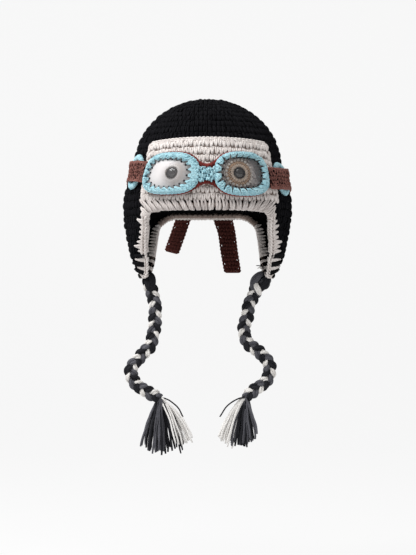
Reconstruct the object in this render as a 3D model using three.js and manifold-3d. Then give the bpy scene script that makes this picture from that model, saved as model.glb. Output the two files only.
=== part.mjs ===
// A crocheted trapper hat with earflaps, knitted-on goggles, a tied strap and two braided ties.
// Millimetres, +Z up. The face side looks along -Y and +X is the viewer's right.
// The origin is the inside top of the crown, where the wearer's head carries the hat.
//
// Every fabric piece lies on one skin, the outside of the black fabric. A place on the skin is
// an angle round the head (phi, degrees, 0 at the front, positive to the right, 180 behind), a
// drop below the crown's top, and an offset along the outward normal, where each layer has its own.
import * as THREE from 'three';
import { mergeVertices } from 'three/addons/utils/BufferGeometryUtils.js';
import Module from 'manifold-3d';

const wasm = await Module();
wasm.setup();

const WALL = 5;
const SEAT = 0.3;
const DEG = Math.PI / 180;

// The crown is a half ellipsoid down to DOME_END, and follows SECTIONS below it.
const DOME = { height: 82, side: 88.5, front: 96, back: 100 };
const DOME_END = 78;

// Level sections of the skin. Below the crown they are the two earflaps, which cup inwards.
const SECTIONS = [
  { drop: 78, left: 88.4, right: 88.6, front: 95.9, back: 99.9, shift: 0 },
  { drop: 90, left: 90.8, right: 92, front: 97, back: 100.3, shift: 0 },
  { drop: 101, left: 95.4, right: 94.8, front: 98, back: 100.4, shift: 0 },
  { drop: 112, left: 99.4, right: 98.6, front: 98.4, back: 100.2, shift: 0 },
  { drop: 126, left: 101, right: 101, front: 98.5, back: 99.5, shift: 0 },
  { drop: 140, left: 100.4, right: 100.4, front: 98, back: 97, shift: 0 },
  { drop: 157, left: 98.2, right: 97.8, front: 83.4, back: 81.6, shift: -3.7 },
  { drop: 169, left: 96.3, right: 96, front: 71.5, back: 69.6, shift: -6.4 },
  { drop: 182, left: 93.8, right: 93.4, front: 56.2, back: 54.7, shift: -9.2 },
  { drop: 194, left: 90, right: 89, front: 42, back: 41, shift: -11.8 },
  { drop: 203, left: 85.5, right: 83.8, front: 32, back: 31, shift: -13.8 },
  { drop: 209, left: 81.2, right: 78.6, front: 28, back: 27.5, shift: -15.1 },
  { drop: 214, left: 78.4, right: 75.6, front: 25, back: 25, shift: -16 },
];

// The crown ends higher behind the front edging than above the flaps and the rear.
const CROWN_EDGE = [
  { phi: 0, drop: 124.2 },
  { phi: 49.8, drop: 124.2 },
  { phi: 50.5, drop: 133 },
  { phi: 180, drop: 133 },
];
const CROWN_COLUMNS = 48;

// The cream edging, from the front centre round one flap to the rear centre: its free edge,
// its sewn edge, and how far it stands above the skin.
const EDGING = [
  { outPhi: 0, outDrop: 136, inPhi: 0, inDrop: 124.5, high: 3 },
  { outPhi: 30, outDrop: 136.4, inPhi: 34, inDrop: 124.5, high: 3 },
  { outPhi: 38, outDrop: 137.7, inPhi: 43.5, inDrop: 124.5, high: 3 },
  { outPhi: 41.6, outDrop: 139, inPhi: 49.5, inDrop: 124.5, high: 2.5 },
  { outPhi: 42.5, outDrop: 143, inPhi: 49.9, inDrop: 133.3, high: 1.5 },
  { outPhi: 42.9, outDrop: 147, inPhi: 50.2, inDrop: 137, high: 1 },
  { outPhi: 43.4, outDrop: 151, inPhi: 50.6, inDrop: 143, high: 1 },
  { outPhi: 43.9, outDrop: 155.5, inPhi: 51.2, inDrop: 150, high: 1 },
  { outPhi: 44.8, outDrop: 160.5, inPhi: 52.1, inDrop: 157, high: 1 },
  { outPhi: 46.6, outDrop: 169.8, inPhi: 55.3, inDrop: 169, high: 1 },
  { outPhi: 48.7, outDrop: 183, inPhi: 58.6, inDrop: 182, high: 1 },
  { outPhi: 50.2, outDrop: 192.5, inPhi: 61.8, inDrop: 190, high: 1 },
  { outPhi: 52.5, outDrop: 200, inPhi: 67, inDrop: 195.5, high: 1 },
  { outPhi: 57, outDrop: 207, inPhi: 74, inDrop: 199, high: 1 },
  { outPhi: 66, outDrop: 213, inPhi: 84, inDrop: 200.7, high: 1 },
  { outPhi: 78, outDrop: 213.5, inPhi: 87.5, inDrop: 200.9, high: 1 },
  { outPhi: 90, outDrop: 213.6, inPhi: 91, inDrop: 201, high: 1 },
  { outPhi: 102, outDrop: 213.5, inPhi: 94.5, inDrop: 200.9, high: 1 },
  { outPhi: 115, outDrop: 213, inPhi: 98, inDrop: 200.7, high: 1 },
  { outPhi: 126, outDrop: 207, inPhi: 110, inDrop: 199, high: 1 },
  { outPhi: 132, outDrop: 200, inPhi: 119, inDrop: 195.5, high: 1 },
  { outPhi: 135.4, outDrop: 192, inPhi: 125.5, inDrop: 190, high: 1 },
  { outPhi: 137.9, outDrop: 182.6, inPhi: 128.8, inDrop: 182, high: 1 },
  { outPhi: 140, outDrop: 169.6, inPhi: 131.9, inDrop: 169, high: 1 },
  { outPhi: 141.9, outDrop: 158.5, inPhi: 134.3, inDrop: 157, high: 1 },
  { outPhi: 143.3, outDrop: 153, inPhi: 137, inDrop: 150, high: 1 },
  { outPhi: 146, outDrop: 148, inPhi: 141, inDrop: 143, high: 1 },
  { outPhi: 151, outDrop: 142.5, inPhi: 146, inDrop: 137, high: 1 },
  { outPhi: 156, outDrop: 140, inPhi: 151, inDrop: 133.3, high: 1 },
  { outPhi: 180, outDrop: 140, inPhi: 180, inDrop: 133.3, high: 1 },
];
// The edging's rows from FLAP_FIRST to FLAP_LAST bound the flap's front, and as many its rear.
const FLAP_FIRST = 4;
const FLAP_LAST = 14;
const FLAP_COLUMNS = 10;
const EDGING_STEP = 6;

// The cream front panel, sewn over the crown, with rounded upper corners.
const PANEL = {
  top: 53, sideTop: 4, bottom: 124, halfTop: 55.5, halfBottom: 52,
  corner: 8, cornerShare: 0.14, low: 0.6, high: 4.8,
};

// The goggles, in millimetres measured round the frames' own radius.
const GOGGLES = { phi: -1.2, drop: 96.4, radius: 106 };
const FRAME = {
  centre: 45.2, half: 39.2, height: 25.6, opening: 47.35, openHalf: 25.5, openHeight: 17,
  power: 2.7, low: 8.6, high: 13.5,
};
const BACKING = { margin: 1.2, low: 5.3, high: 7, plateHalf: 14, plateHeight: 12.5 };
const BRIDGE = { half: 5.7, height: 8.6, low: 8.6, high: 13 };
const LENS = { tuck: 2.5, low: 7.3, high: 8.2, rise: 5.4, flat: 0.88 };
const EYES = [
  { side: 'left', phi: -24.2, drop: 94.8 },
  { side: 'right', phi: 21.1, drop: 95 },
];
const EYE = { radius: 15.5, low: 5.4, high: 7.2, bead: 6.5, beadLow: 7.5, beadRise: 3.6 };
const LOOP_COLUMNS = 36;

// The strap runs from each frame round the side, over a ring, to the knot behind.
const STRAP = { half: 12.7, thick: 3.3 };
const STRAP_LEFT = [
  { phi: -48, drop: 92.5, low: 5.1 },
  { phi: -57, drop: 91, low: 5.1 },
  { phi: -72.5, drop: 90, low: 3.9 },
  { phi: -79, drop: 90, low: 0.6 },
  { phi: -100, drop: 91, low: 0.6 },
  { phi: -120, drop: 92.5, low: 0.6 },
  { phi: -150, drop: 95.5, low: 0.6 },
  { phi: -164, drop: 97, low: 0.6 },
];
const STRAP_RIGHT = [
  { phi: 45.6, drop: 98.5, low: 5.1 },
  { phi: 57, drop: 98.5, low: 5.1 },
  { phi: 73.5, drop: 98.2, low: 3.9 },
  { phi: 80, drop: 98, low: 0.6 },
  { phi: 120, drop: 97.5, low: 0.6 },
  { phi: 165.8, drop: 97, low: 0.6 },
];
const STRAP_STEP = 5;
const KNOT = {
  phi: 180.9, drop: 97, half: 23.5, height: 15, power: 3.4,
  profile: [
    { reach: 0, high: 13.6 }, { reach: 0.5, high: 13 }, { reach: 0.85, high: 10 }, { reach: 1, high: 5 },
  ],
};

// The strap's two tails hang straight down behind, gathered at the knot.
const TAIL = { y: 102.3, thick: 3.6 };
const TAIL_LEFT = [
  { drop: 112.6, x: -12, half: 6.5 }, { drop: 124, x: -24, half: 9 }, { drop: 143, x: -31.9, half: 9.5 },
  { drop: 162, x: -38.4, half: 9.5 }, { drop: 181, x: -44.8, half: 9 },
];
const TAIL_RIGHT = [
  { drop: 112.6, x: 9, half: 7 }, { drop: 125, x: 15.5, half: 10.5 }, { drop: 143, x: 20, half: 12 },
  { drop: 158, x: 24, half: 11 }, { drop: 180, x: 27, half: 10.8 }, { drop: 206.6, x: 31.4, half: 10.6 },
];

// The flat rings that the strap passes over, leaning back at the top.
const RING = { half: 13.8, height: 18.5, band: 5.2, low: 0.4, high: 3.4 };
const RINGS = [
  { side: 'left', phi: -64, drop: 89.5, lean: -20 },
  { side: 'right', phi: 65, drop: 97.5, lean: 24 },
];

// The braided ties: their middle lines, worked out by hand from flap tip to tassel.
const TIE = { diameter: 14.4, sides: 8, steps: 26 };
const TIE_LEFT = [
  [-71.9, -16, -209.1], [-71.7, -16.2, -213.5], [-65, -17, -229], [-62.1, -17.5, -247.3], [-62.7, -17, -261.5],
  [-64.5, -17, -275.8], [-68.7, -17, -290.1], [-79, -17, -302], [-88, -17, -312], [-91.3, -17, -321],
  [-88.9, -17, -330.6], [-80.6, -17, -338.9], [-68.7, -17, -347.2], [-57, -17, -353.6],
];
const TIE_RIGHT = [
  [71.9, -16, -209.1], [71.6, -16.2, -213], [56, -17, -231], [49.1, -17.5, -242.5], [47, -17, -255],
  [43.2, -17, -272.3], [45.6, -17, -281.8], [51.5, -17, -290.1], [62.2, -17, -298], [70.6, -17, -306.8],
  [74.2, -17, -317.5], [72.5, -17, -327], [64.6, -17, -336.5], [52.7, -17, -344.8], [46, -17, -352],
];

// A tassel is a knot at the tie's end and locks that fan out below it.
const TASSEL = { head: 8.6, lock: 3.4, lockSides: 5, lockRows: 4, length: 60, depth: 8 };
const TASSEL_LEFT = { reach: [6, -4], spread: [-30, -20, -10, 0, 10, 20, 29], drift: 6 };
const TASSEL_RIGHT = { reach: [-4, -6], spread: [-19, -12.5, -6, 0, 6, 12.5, 19], drift: -9 };

const COLOURS = {
  black_yarn: { color: 0x17171d, roughness: 0.95 },
  cream_yarn: { color: 0xe4dad2, roughness: 0.95 },
  blue_yarn: { color: 0x96d7e6, roughness: 0.95 },
  brown_yarn: { color: 0x5a362f, roughness: 0.95 },
  grey_yarn: { color: 0x6e6e74, roughness: 0.95 },
  eye_yarn: { color: 0xd9c9b4, roughness: 0.95 },
  black_bead: { color: 0x0a0a0c, roughness: 0.12 },
  clear_lens: { color: 0xdfe3e6, roughness: 0.08, transparent: true, opacity: 0.35 },
};

// Smooth value of one column of a table between its rows, by cubic Hermite with central slopes.
function smooth(table, key, column, value) {
  const last = table.length - 1;
  let i = 0;
  while (i < last - 1 && value > table[i + 1][key]) i += 1;
  const slope = (k) => {
    const a = table[Math.max(k - 1, 0)];
    const b = table[Math.min(k + 1, last)];
    return (b[column] - a[column]) / (b[key] - a[key]);
  };
  const span = table[i + 1][key] - table[i][key];
  const t = THREE.MathUtils.clamp((value - table[i][key]) / span, 0, 1);
  const t2 = t * t;
  const t3 = t2 * t;
  return (2 * t3 - 3 * t2 + 1) * table[i][column] + (t3 - 2 * t2 + t) * span * slope(i)
    + (3 * t2 - 2 * t3) * table[i + 1][column] + (t3 - t2) * span * slope(i + 1);
}

// Straight value of one column of a table between its rows.
function straight(table, key, column, value) {
  const last = table.length - 1;
  let i = 0;
  while (i < last - 1 && value > table[i + 1][key]) i += 1;
  const t = THREE.MathUtils.clamp((value - table[i][key]) / (table[i + 1][key] - table[i][key]), 0, 1);
  return THREE.MathUtils.lerp(table[i][column], table[i + 1][column], t);
}

// The skin's point at an angle and a drop.
function skin(phi, drop) {
  const across = Math.sin(phi * DEG);
  const along = Math.cos(phi * DEG);
  if (drop <= DOME_END) {
    const k = Math.sqrt(Math.max(0, 1 - (1 - drop / DOME.height) ** 2));
    const reach = along > 0 ? DOME.front : DOME.back;
    return new THREE.Vector3(DOME.side * k * across, -reach * k * along, WALL - drop);
  }
  const reach = smooth(SECTIONS, 'drop', along > 0 ? 'front' : 'back', drop);
  const shift = smooth(SECTIONS, 'drop', 'shift', drop);
  const side = smooth(SECTIONS, 'drop', across < 0 ? 'left' : 'right', drop);
  return new THREE.Vector3(side * across, shift - reach * along, WALL - drop);
}

// The point that lies an offset outside the skin.
function place(phi, drop, offset) {
  const step = 0.5;
  const point = skin(phi, drop);
  if (drop < step / 10) return point.add(new THREE.Vector3(0, 0, offset));
  const round = skin(phi + step, drop).sub(skin(phi - step, drop));
  const down = skin(phi, drop + step).sub(skin(phi, Math.max(drop - step, 0)));
  return point.addScaledVector(down.cross(round).normalize(), offset);
}

// A geometry with shared corners and no collapsed triangles, its faces turned outwards.
function closed(geometry) {
  const bare = new THREE.BufferGeometry();
  bare.setAttribute('position', geometry.getAttribute('position'));
  if (geometry.index) bare.setIndex(geometry.index);
  const merged = mergeVertices(bare, 1e-3);
  const at = merged.getAttribute('position');
  const corner = [new THREE.Vector3(), new THREE.Vector3(), new THREE.Vector3()];
  const faces = [];
  let volume = 0;
  for (let i = 0; i < merged.index.count; i += 3) {
    const ids = [0, 1, 2].map((k) => merged.index.getX(i + k));
    if (new Set(ids).size < 3) continue;
    ids.forEach((id, k) => corner[k].fromBufferAttribute(at, id));
    volume += corner[0].dot(corner[1].clone().cross(corner[2])) / 6;
    faces.push(ids);
  }
  const turned = volume < 0 ? faces.map(([a, b, c]) => [a, c, b]) : faces;
  merged.setIndex(turned.flat());
  merged.computeVertexNormals();
  return merged;
}

// A closed slab between two grids of points, [row][column]. A round slab joins its last column
// to its first. A row that is one point closes as a pole, and a round slab of two loops is a ring.
function slab(outer, inner, { round = false, ring = false } = {}) {
  const rows = outer.length;
  const columns = outer[0].length;
  const points = [...outer.flat(), ...inner.flat()];
  const out = (r, c) => r * columns + (c % columns);
  const inn = (r, c) => rows * columns + r * columns + (c % columns);
  const index = [];
  const quad = (a, b, c, d) => index.push(a, b, c, a, c, d);
  const across = round ? columns : columns - 1;
  for (let r = 0; r < rows - 1; r += 1) {
    for (let c = 0; c < across; c += 1) {
      quad(out(r, c), out(r + 1, c), out(r + 1, c + 1), out(r, c + 1));
      quad(inn(r, c), inn(r, c + 1), inn(r + 1, c + 1), inn(r + 1, c));
    }
    if (!round) {
      quad(out(r, 0), inn(r, 0), inn(r + 1, 0), out(r + 1, 0));
      quad(out(r, columns - 1), out(r + 1, columns - 1), inn(r + 1, columns - 1), inn(r, columns - 1));
    }
  }
  for (let c = 0; c < across; c += 1) {
    quad(out(rows - 1, c), inn(rows - 1, c), inn(rows - 1, c + 1), out(rows - 1, c + 1));
    if (!round || ring) quad(out(0, c), out(0, c + 1), inn(0, c + 1), inn(0, c));
  }
  const geometry = new THREE.BufferGeometry().setFromPoints(points);
  geometry.setIndex(index);
  return closed(geometry);
}

// A geometry as a solid that can be joined, and back.
function toSolid(geometry) {
  return new wasm.Manifold(new wasm.Mesh({
    numProp: 3,
    vertProperties: new Float32Array(geometry.getAttribute('position').array),
    triVerts: new Uint32Array(geometry.index.array),
  }));
}

function joined(geometries) {
  const made = geometries.map(toSolid).reduce((a, b) => a.add(b)).getMesh();
  const geometry = new THREE.BufferGeometry();
  geometry.setAttribute('position', new THREE.BufferAttribute(new Float32Array(made.vertProperties), 3));
  geometry.setIndex(new THREE.BufferAttribute(new Uint32Array(made.triVerts), 1));
  return closed(geometry);
}

const hat = new THREE.Group();
hat.name = 'crochet_trapper_hat';

function addPiece(name, geometry, colour) {
  const mesh = new THREE.Mesh(geometry, new THREE.MeshStandardMaterial({ metalness: 0, ...COLOURS[colour] }));
  mesh.name = name;
  hat.add(mesh);
  return mesh;
}

const steps = (count) => Array.from({ length: count }, (_, i) => i);

// The crown: a hollow dome of knitted thickness, open below.
function crown() {
  const domeRows = steps(10).map((i) => DOME.height * (1 - Math.cos((i / 9) * Math.PI / 2)));
  const phis = steps(CROWN_COLUMNS).map((i) => (i * 360) / CROWN_COLUMNS - 180);
  const edges = [-50.5, -49.8, 49.8, 50.5];
  const round = [...phis.filter((phi) => edges.every((edge) => Math.abs(phi - edge) > 2)), ...edges];
  round.sort((a, b) => a - b);
  const grid = (offset) => [
    ...domeRows.map((drop) => round.map((phi) => place(phi, drop, offset))),
    ...steps(5).map((i) => round.map((phi) => {
      const edge = straight(CROWN_EDGE, 'phi', 'drop', Math.abs(phi));
      return place(phi, THREE.MathUtils.lerp(DOME.height, edge, (i + 1) / 5), offset);
    })),
  ];
  return slab(grid(0), grid(-WALL), { round: true });
}

// One earflap, between the edging's front and rear sewn edges, and a seat's gap inside them.
function earFlap(side) {
  const inset = 0.6;
  const front = EDGING.slice(FLAP_FIRST, FLAP_LAST + 1);
  const rear = EDGING.slice(EDGING.length - 1 - front.length, EDGING.length - 1).reverse();
  const top = front[0].inDrop;
  const depth = front[front.length - 1].inDrop - top;
  const grid = (offset) => front.map((row, i) => {
    const drop = row.inDrop - 0.4 * ((row.inDrop - top) / depth);
    return steps(FLAP_COLUMNS + 1).map((c) => {
      const phi = THREE.MathUtils.lerp(row.inPhi + inset, rear[i].inPhi - inset, c / FLAP_COLUMNS);
      return place(side * phi, drop, offset);
    });
  });
  return slab(grid(0), grid(-WALL));
}

// The edging is one strip that runs round the whole rim and both flaps.
function rimEdging() {
  const half = [];
  EDGING.slice(0, -1).forEach((row, i) => {
    const next = EDGING[i + 1];
    const count = Math.max(1, Math.round((next.outPhi - row.outPhi) / EDGING_STEP));
    steps(count).forEach((k) => {
      const mix = {};
      Object.keys(row).forEach((key) => {
        mix[key] = THREE.MathUtils.lerp(row[key], next[key], k / count);
      });
      half.push({ ...mix, side: 1 });
    });
  });
  const rear = { ...EDGING[EDGING.length - 1], side: 1 };
  const other = half.slice(1).reverse().map((row) => ({ ...row, side: -1 }));
  const loop = [...half, rear, ...other];
  const grid = (offset) => [
    loop.map((row) => place(row.side * row.inPhi, row.inDrop, offset(row))),
    loop.map((row) => place(row.side * row.outPhi, row.outDrop, offset(row))),
  ];
  return slab(grid((row) => row.high), grid(() => -WALL), { round: true, ring: true });
}

// The front panel, over the crown.
function frontPanel() {
  const rows = 8;
  const columns = 16;
  const grid = (offset) => steps(rows + 1).map((r) => steps(columns + 1).map((c) => {
    const across = (2 * c) / columns - 1;
    const beyond = Math.max(0, (Math.abs(across) - 1 + PANEL.cornerShare) / PANEL.cornerShare);
    const top = PANEL.top + PANEL.sideTop * across ** 2 + PANEL.corner * beyond ** 2;
    const share = r / rows;
    const half = THREE.MathUtils.lerp(PANEL.halfTop, PANEL.halfBottom, share);
    return place(across * half, THREE.MathUtils.lerp(top, PANEL.bottom, share), offset);
  }));
  return slab(grid(PANEL.high), grid(PANEL.low));
}

// A place on the goggles: u to the right and w upwards from their middle.
function onGoggles(u, w, offset) {
  return place(GOGGLES.phi + u / GOGGLES.radius / DEG, GOGGLES.drop - w, offset);
}

// A point of a rounded rectangle, of the power that squares its corners.
function squared(angle, half, height, power) {
  const bend = (value) => Math.sign(value) * Math.abs(value) ** (2 / power);
  return { u: half * bend(Math.cos(angle)), w: height * bend(Math.sin(angle)) };
}

const loopAngles = steps(LOOP_COLUMNS).map((i) => ((i + 0.5) * 2 * Math.PI) / LOOP_COLUMNS);

// A band between two rounded rectangles, which a frame and its backing both are.
function gogglesBand(side, margin, low, high) {
  const loop = (centre, half, height, offset) => loopAngles.map((angle) => {
    const { u, w } = squared(angle, half, height, FRAME.power);
    return onGoggles(side * centre + u, w, offset);
  });
  const grid = (offset) => [
    loop(FRAME.opening, FRAME.openHalf + margin, FRAME.openHeight + margin, offset),
    loop(FRAME.centre, FRAME.half + margin, FRAME.height + margin, offset),
  ];
  return slab(grid(high), grid(low), { round: true, ring: true });
}

// A plate that follows the goggles, of so many columns.
function gogglesPlate(half, height, low, high, columns) {
  const grid = (offset) => [height, -height].map((w) => steps(columns + 1).map((c) => (
    onGoggles(half * ((2 * c) / columns - 1), w, offset)
  )));
  return slab(grid(high), grid(low));
}

// A domed disc: rows of growing reach, each with its own top and underside.
function domed(rows, edge, columns) {
  const angles = steps(columns).map((i) => (i * 2 * Math.PI) / columns);
  const grid = (key) => rows.map((row) => angles.map((angle) => edge(angle, row.reach, row[key])));
  return slab(grid('high'), grid('low'), { round: true });
}

function lens(side) {
  const rows = [0, 0.5, LENS.flat, 1].map((reach) => {
    const rise = LENS.rise * Math.max(0, 1 - (reach / LENS.flat) ** 2);
    return { reach, low: LENS.low + rise, high: LENS.high + rise };
  });
  return domed(rows, (angle, reach, offset) => {
    const half = FRAME.openHalf + LENS.tuck;
    const { u, w } = squared(angle, half * reach, (FRAME.openHeight + LENS.tuck) * reach, FRAME.power);
    return onGoggles(side * FRAME.opening + u, w, offset);
  }, LOOP_COLUMNS);
}

// The place of a point that lies u to the right and w above a middle on the skin.
function near(middle, u, w, offset) {
  const arc = skin(middle.phi + 1, middle.drop).distanceTo(skin(middle.phi - 1, middle.drop)) / 2;
  return place(middle.phi + u / arc, middle.drop - w, offset);
}

function eyeDisc(eye) {
  const rows = [{ reach: 0 }, { reach: 0.5 }, { reach: 1 }].map((row) => ({ ...row, low: EYE.low, high: EYE.high }));
  return domed(rows, (angle, reach, offset) => {
    const radius = EYE.radius * reach;
    return near(eye, radius * Math.cos(angle), radius * Math.sin(angle), offset);
  }, 20);
}

function eyeBead(eye) {
  const rows = [0, 0.45, 0.8, 1].map((reach) => ({
    reach,
    low: EYE.beadLow,
    high: EYE.beadLow + 0.4 + EYE.beadRise * Math.sqrt(1 - reach ** 2),
  }));
  return domed(rows, (angle, reach, offset) => {
    const radius = EYE.bead * reach;
    return near(eye, radius * Math.cos(angle), radius * Math.sin(angle), offset);
  }, 14);
}

// A flat strap through a table of places: three rows of points follow the skin across it.
function strap(table) {
  const ahead = Math.sign(table[0].phi);
  const ordered = table.map((row) => ({ ...row, phi: Math.abs(row.phi) }));
  const stations = [];
  ordered.slice(0, -1).forEach((row, i) => {
    const count = Math.ceil((ordered[i + 1].phi - row.phi) / STRAP_STEP);
    steps(count).forEach((k) => {
      stations.push(THREE.MathUtils.lerp(row.phi, ordered[i + 1].phi, k / count));
    });
  });
  stations.push(ordered[ordered.length - 1].phi);
  const grid = (thick) => [-1, 0, 1].map((across) => stations.map((phi) => {
    const middle = smooth(ordered, 'phi', 'drop', phi);
    const low = straight(ordered, 'phi', 'low', phi);
    return place(ahead * phi, middle + across * STRAP.half, low + thick);
  }));
  return slab(grid(STRAP.thick), grid(0));
}

function strapKnot() {
  const rows = KNOT.profile.map((row) => ({ ...row, low: SEAT + 0.1 }));
  return domed(rows, (angle, reach, offset) => {
    const { u, w } = squared(angle, KNOT.half * reach, KNOT.height * reach, KNOT.power);
    return near(KNOT, u, w, offset);
  }, 24);
}

function strapTail(table) {
  const grid = (y) => table.map((row) => [-1, 1].map((across) => (
    new THREE.Vector3(row.x + across * row.half, y, WALL - row.drop)
  )));
  return slab(grid(TAIL.y + TAIL.thick), grid(TAIL.y));
}

function strapRing(ring) {
  const angles = steps(24).map((i) => (i * 2 * Math.PI) / 24);
  const lean = ring.lean * DEG;
  const loop = (half, height, offset) => angles.map((angle) => {
    const u = half * Math.cos(angle);
    const w = height * Math.sin(angle);
    return near(ring, u * Math.cos(lean) + w * Math.sin(lean), w * Math.cos(lean) - u * Math.sin(lean), offset);
  });
  const grid = (offset) => [
    loop(RING.half - RING.band, RING.height - RING.band, offset),
    loop(RING.half, RING.height, offset),
  ];
  return slab(grid(RING.high), grid(RING.low), { round: true, ring: true });
}

// A round section carried along a tie's middle line.
function tie(route) {
  const section = new THREE.Shape(steps(TIE.sides).map((i) => {
    const angle = ((i + 0.5) * 2 * Math.PI) / TIE.sides;
    return new THREE.Vector2(Math.cos(angle), Math.sin(angle)).multiplyScalar(TIE.diameter / 2);
  }));
  const path = new THREE.CatmullRomCurve3(route.map((point) => new THREE.Vector3(...point)));
  return closed(new THREE.ExtrudeGeometry(section, { steps: TIE.steps, extrudePath: path }));
}

// One lock of a tassel: a tapered tube that leaves the head sideways and then hangs down.
function lock(reach, foot, depth) {
  const path = new THREE.CatmullRomCurve3([
    new THREE.Vector3(0, 0, 0),
    new THREE.Vector3(reach[0] * 0.5 + foot * 0.25, depth * 0.4, reach[1] - TASSEL.length * 0.15),
    new THREE.Vector3(reach[0] * 0.5 + foot * 0.7, depth * 0.8, reach[1] - TASSEL.length * 0.5),
    new THREE.Vector3(foot, depth, -TASSEL.length),
  ]);
  const rows = TASSEL.lockRows;
  const ring = (share) => {
    const centre = path.getPoint(share);
    const radius = TASSEL.lock * (0.8 + 0.35 * Math.sin(share * Math.PI));
    return steps(TASSEL.lockSides).map((i) => {
      const angle = (i * 2 * Math.PI) / TASSEL.lockSides;
      return centre.clone().add(new THREE.Vector3(radius * Math.cos(angle), radius * Math.sin(angle), 0));
    });
  };
  const walls = steps(rows + 1).map((r) => ring(r / rows));
  const pole = (share) => steps(TASSEL.lockSides).map(() => path.getPoint(share));
  const tube = [pole(0), ...walls, pole(1)];
  const index = [];
  for (let r = 0; r < tube.length - 1; r += 1) {
    for (let c = 0; c < TASSEL.lockSides; c += 1) {
      const next = (c + 1) % TASSEL.lockSides;
      const a = r * TASSEL.lockSides;
      const b = a + TASSEL.lockSides;
      index.push(a + c, b + c, b + next, a + c, b + next, a + next);
    }
  }
  const geometry = new THREE.BufferGeometry().setFromPoints(tube.flat());
  geometry.setIndex(index);
  return closed(geometry);
}

function tassel(shape) {
  const head = closed(new THREE.SphereGeometry(TASSEL.head, 12, 8));
  const locks = shape.spread.map((foot, i) => {
    const depth = TASSEL.depth * (i % 2 ? 1 : -1) * (1 - Math.abs(foot) / 60);
    return lock(shape.reach, foot + shape.drift, depth);
  });
  return joined([head, ...locks]);
}

// The tassel's middle lies past the tie's end, in line with it, and touches it at a seat's gap.
function addTassel(side, route, shape) {
  const end = new THREE.Vector3(...route[route.length - 1]);
  const before = new THREE.Vector3(...route[route.length - 2]);
  const mesh = addPiece(`tassel_${side}`, tassel(shape), 'grey_yarn');
  mesh.position.copy(end).addScaledVector(end.clone().sub(before).normalize(), TASSEL.head + SEAT);
}

addPiece('crown', crown(), 'black_yarn');
addPiece('ear_flap_left', earFlap(-1), 'black_yarn');
addPiece('ear_flap_right', earFlap(1), 'black_yarn');
addPiece('front_panel', frontPanel(), 'cream_yarn');
addPiece('rim_edging', rimEdging(), 'cream_yarn');

addPiece('goggle_backing', joined([
  gogglesBand(-1, BACKING.margin, BACKING.low, BACKING.high),
  gogglesBand(1, BACKING.margin, BACKING.low, BACKING.high),
  gogglesPlate(BACKING.plateHalf, BACKING.plateHeight, BACKING.low + 0.2, BACKING.high - 0.2, 6),
]), 'brown_yarn');
[['left', -1], ['right', 1]].forEach(([side, sign]) => {
  addPiece(`goggle_frame_${side}`, gogglesBand(sign, 0, FRAME.low, FRAME.high), 'blue_yarn');
  addPiece(`lens_${side}`, lens(sign), 'clear_lens');
});
addPiece('goggle_bridge', gogglesPlate(BRIDGE.half, BRIDGE.height, BRIDGE.low, BRIDGE.high, 2), 'blue_yarn');

EYES.forEach((eye) => {
  addPiece(`eye_disc_${eye.side}`, eyeDisc(eye), 'eye_yarn');
  addPiece(`eye_bead_${eye.side}`, eyeBead(eye), 'black_bead');
});

addPiece('strap_left', strap(STRAP_LEFT), 'brown_yarn');
addPiece('strap_right', strap(STRAP_RIGHT), 'brown_yarn');
addPiece('strap_knot', strapKnot(), 'brown_yarn');
addPiece('strap_tail_left', strapTail(TAIL_LEFT), 'brown_yarn');
addPiece('strap_tail_right', strapTail(TAIL_RIGHT), 'brown_yarn');
RINGS.forEach((ring) => addPiece(`strap_ring_${ring.side}`, strapRing(ring), 'blue_yarn'));

addPiece('tie_left', tie(TIE_LEFT), 'grey_yarn');
addPiece('tie_right', tie(TIE_RIGHT), 'grey_yarn');
addTassel('left', TIE_LEFT, TASSEL_LEFT);
addTassel('right', TIE_RIGHT, TASSEL_RIGHT);

export default hat;
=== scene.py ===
# %% [markdown]
# # A crocheted trapper hat, stitch by stitch
# The imported solids give every size and place. This script dresses them in yarn: each visible
# stitch is a short tube of yarn that lies on the hat's skin, so the texture is real geometry.
# Everything is in metres in the solids' own frame: the face side looks along -Y, +Z is up, and
# the inside top of the crown is the origin.

# %% Load the solids
import math

import bpy
import numpy as np
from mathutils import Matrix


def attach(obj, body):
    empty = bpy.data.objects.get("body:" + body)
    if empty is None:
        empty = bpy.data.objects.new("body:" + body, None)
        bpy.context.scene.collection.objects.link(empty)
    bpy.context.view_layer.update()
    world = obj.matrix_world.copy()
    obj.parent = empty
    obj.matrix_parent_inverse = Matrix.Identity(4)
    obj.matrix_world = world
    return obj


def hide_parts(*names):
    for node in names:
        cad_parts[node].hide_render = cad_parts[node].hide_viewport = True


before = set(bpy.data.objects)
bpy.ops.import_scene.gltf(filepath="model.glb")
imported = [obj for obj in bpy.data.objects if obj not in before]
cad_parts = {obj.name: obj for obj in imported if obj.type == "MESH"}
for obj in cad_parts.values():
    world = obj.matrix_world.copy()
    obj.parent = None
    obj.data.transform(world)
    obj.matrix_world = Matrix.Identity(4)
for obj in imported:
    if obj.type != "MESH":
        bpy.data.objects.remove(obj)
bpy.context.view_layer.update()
MM = 0.001
SIDES = ("left", "right")
draws = np.random.default_rng(11)

# %% [markdown]
# ## Camera, floor and light
# The photograph looks level at the middle of the hat from about two metres, so a long lens at
# that distance gives the same flat view. The floor sweeps up behind as a paper backdrop does, and
# glows a little by itself, which keeps it as even as the pale ground of a catalogue picture.

# %% Camera
camera_data = bpy.data.cameras.new("level_view")
camera_data.lens = 108.1
camera_data.clip_end = 50
camera = bpy.data.objects.new("level_view", camera_data)
camera.location = (0.00036, -2.0, -0.2086)
camera.rotation_euler = (math.pi / 2, 0, 0)
bpy.context.scene.collection.objects.link(camera)
bpy.context.scene.camera = camera
bpy.context.scene.view_settings.view_transform = "Standard"
print("camera at", tuple(camera.location))


# %% Small helpers for arrays and node trees
def unit(vectors):
    """Each vector divided by its own length."""
    return vectors / np.maximum(np.linalg.norm(vectors, axis=-1, keepdims=True), 1e-12)


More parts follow.
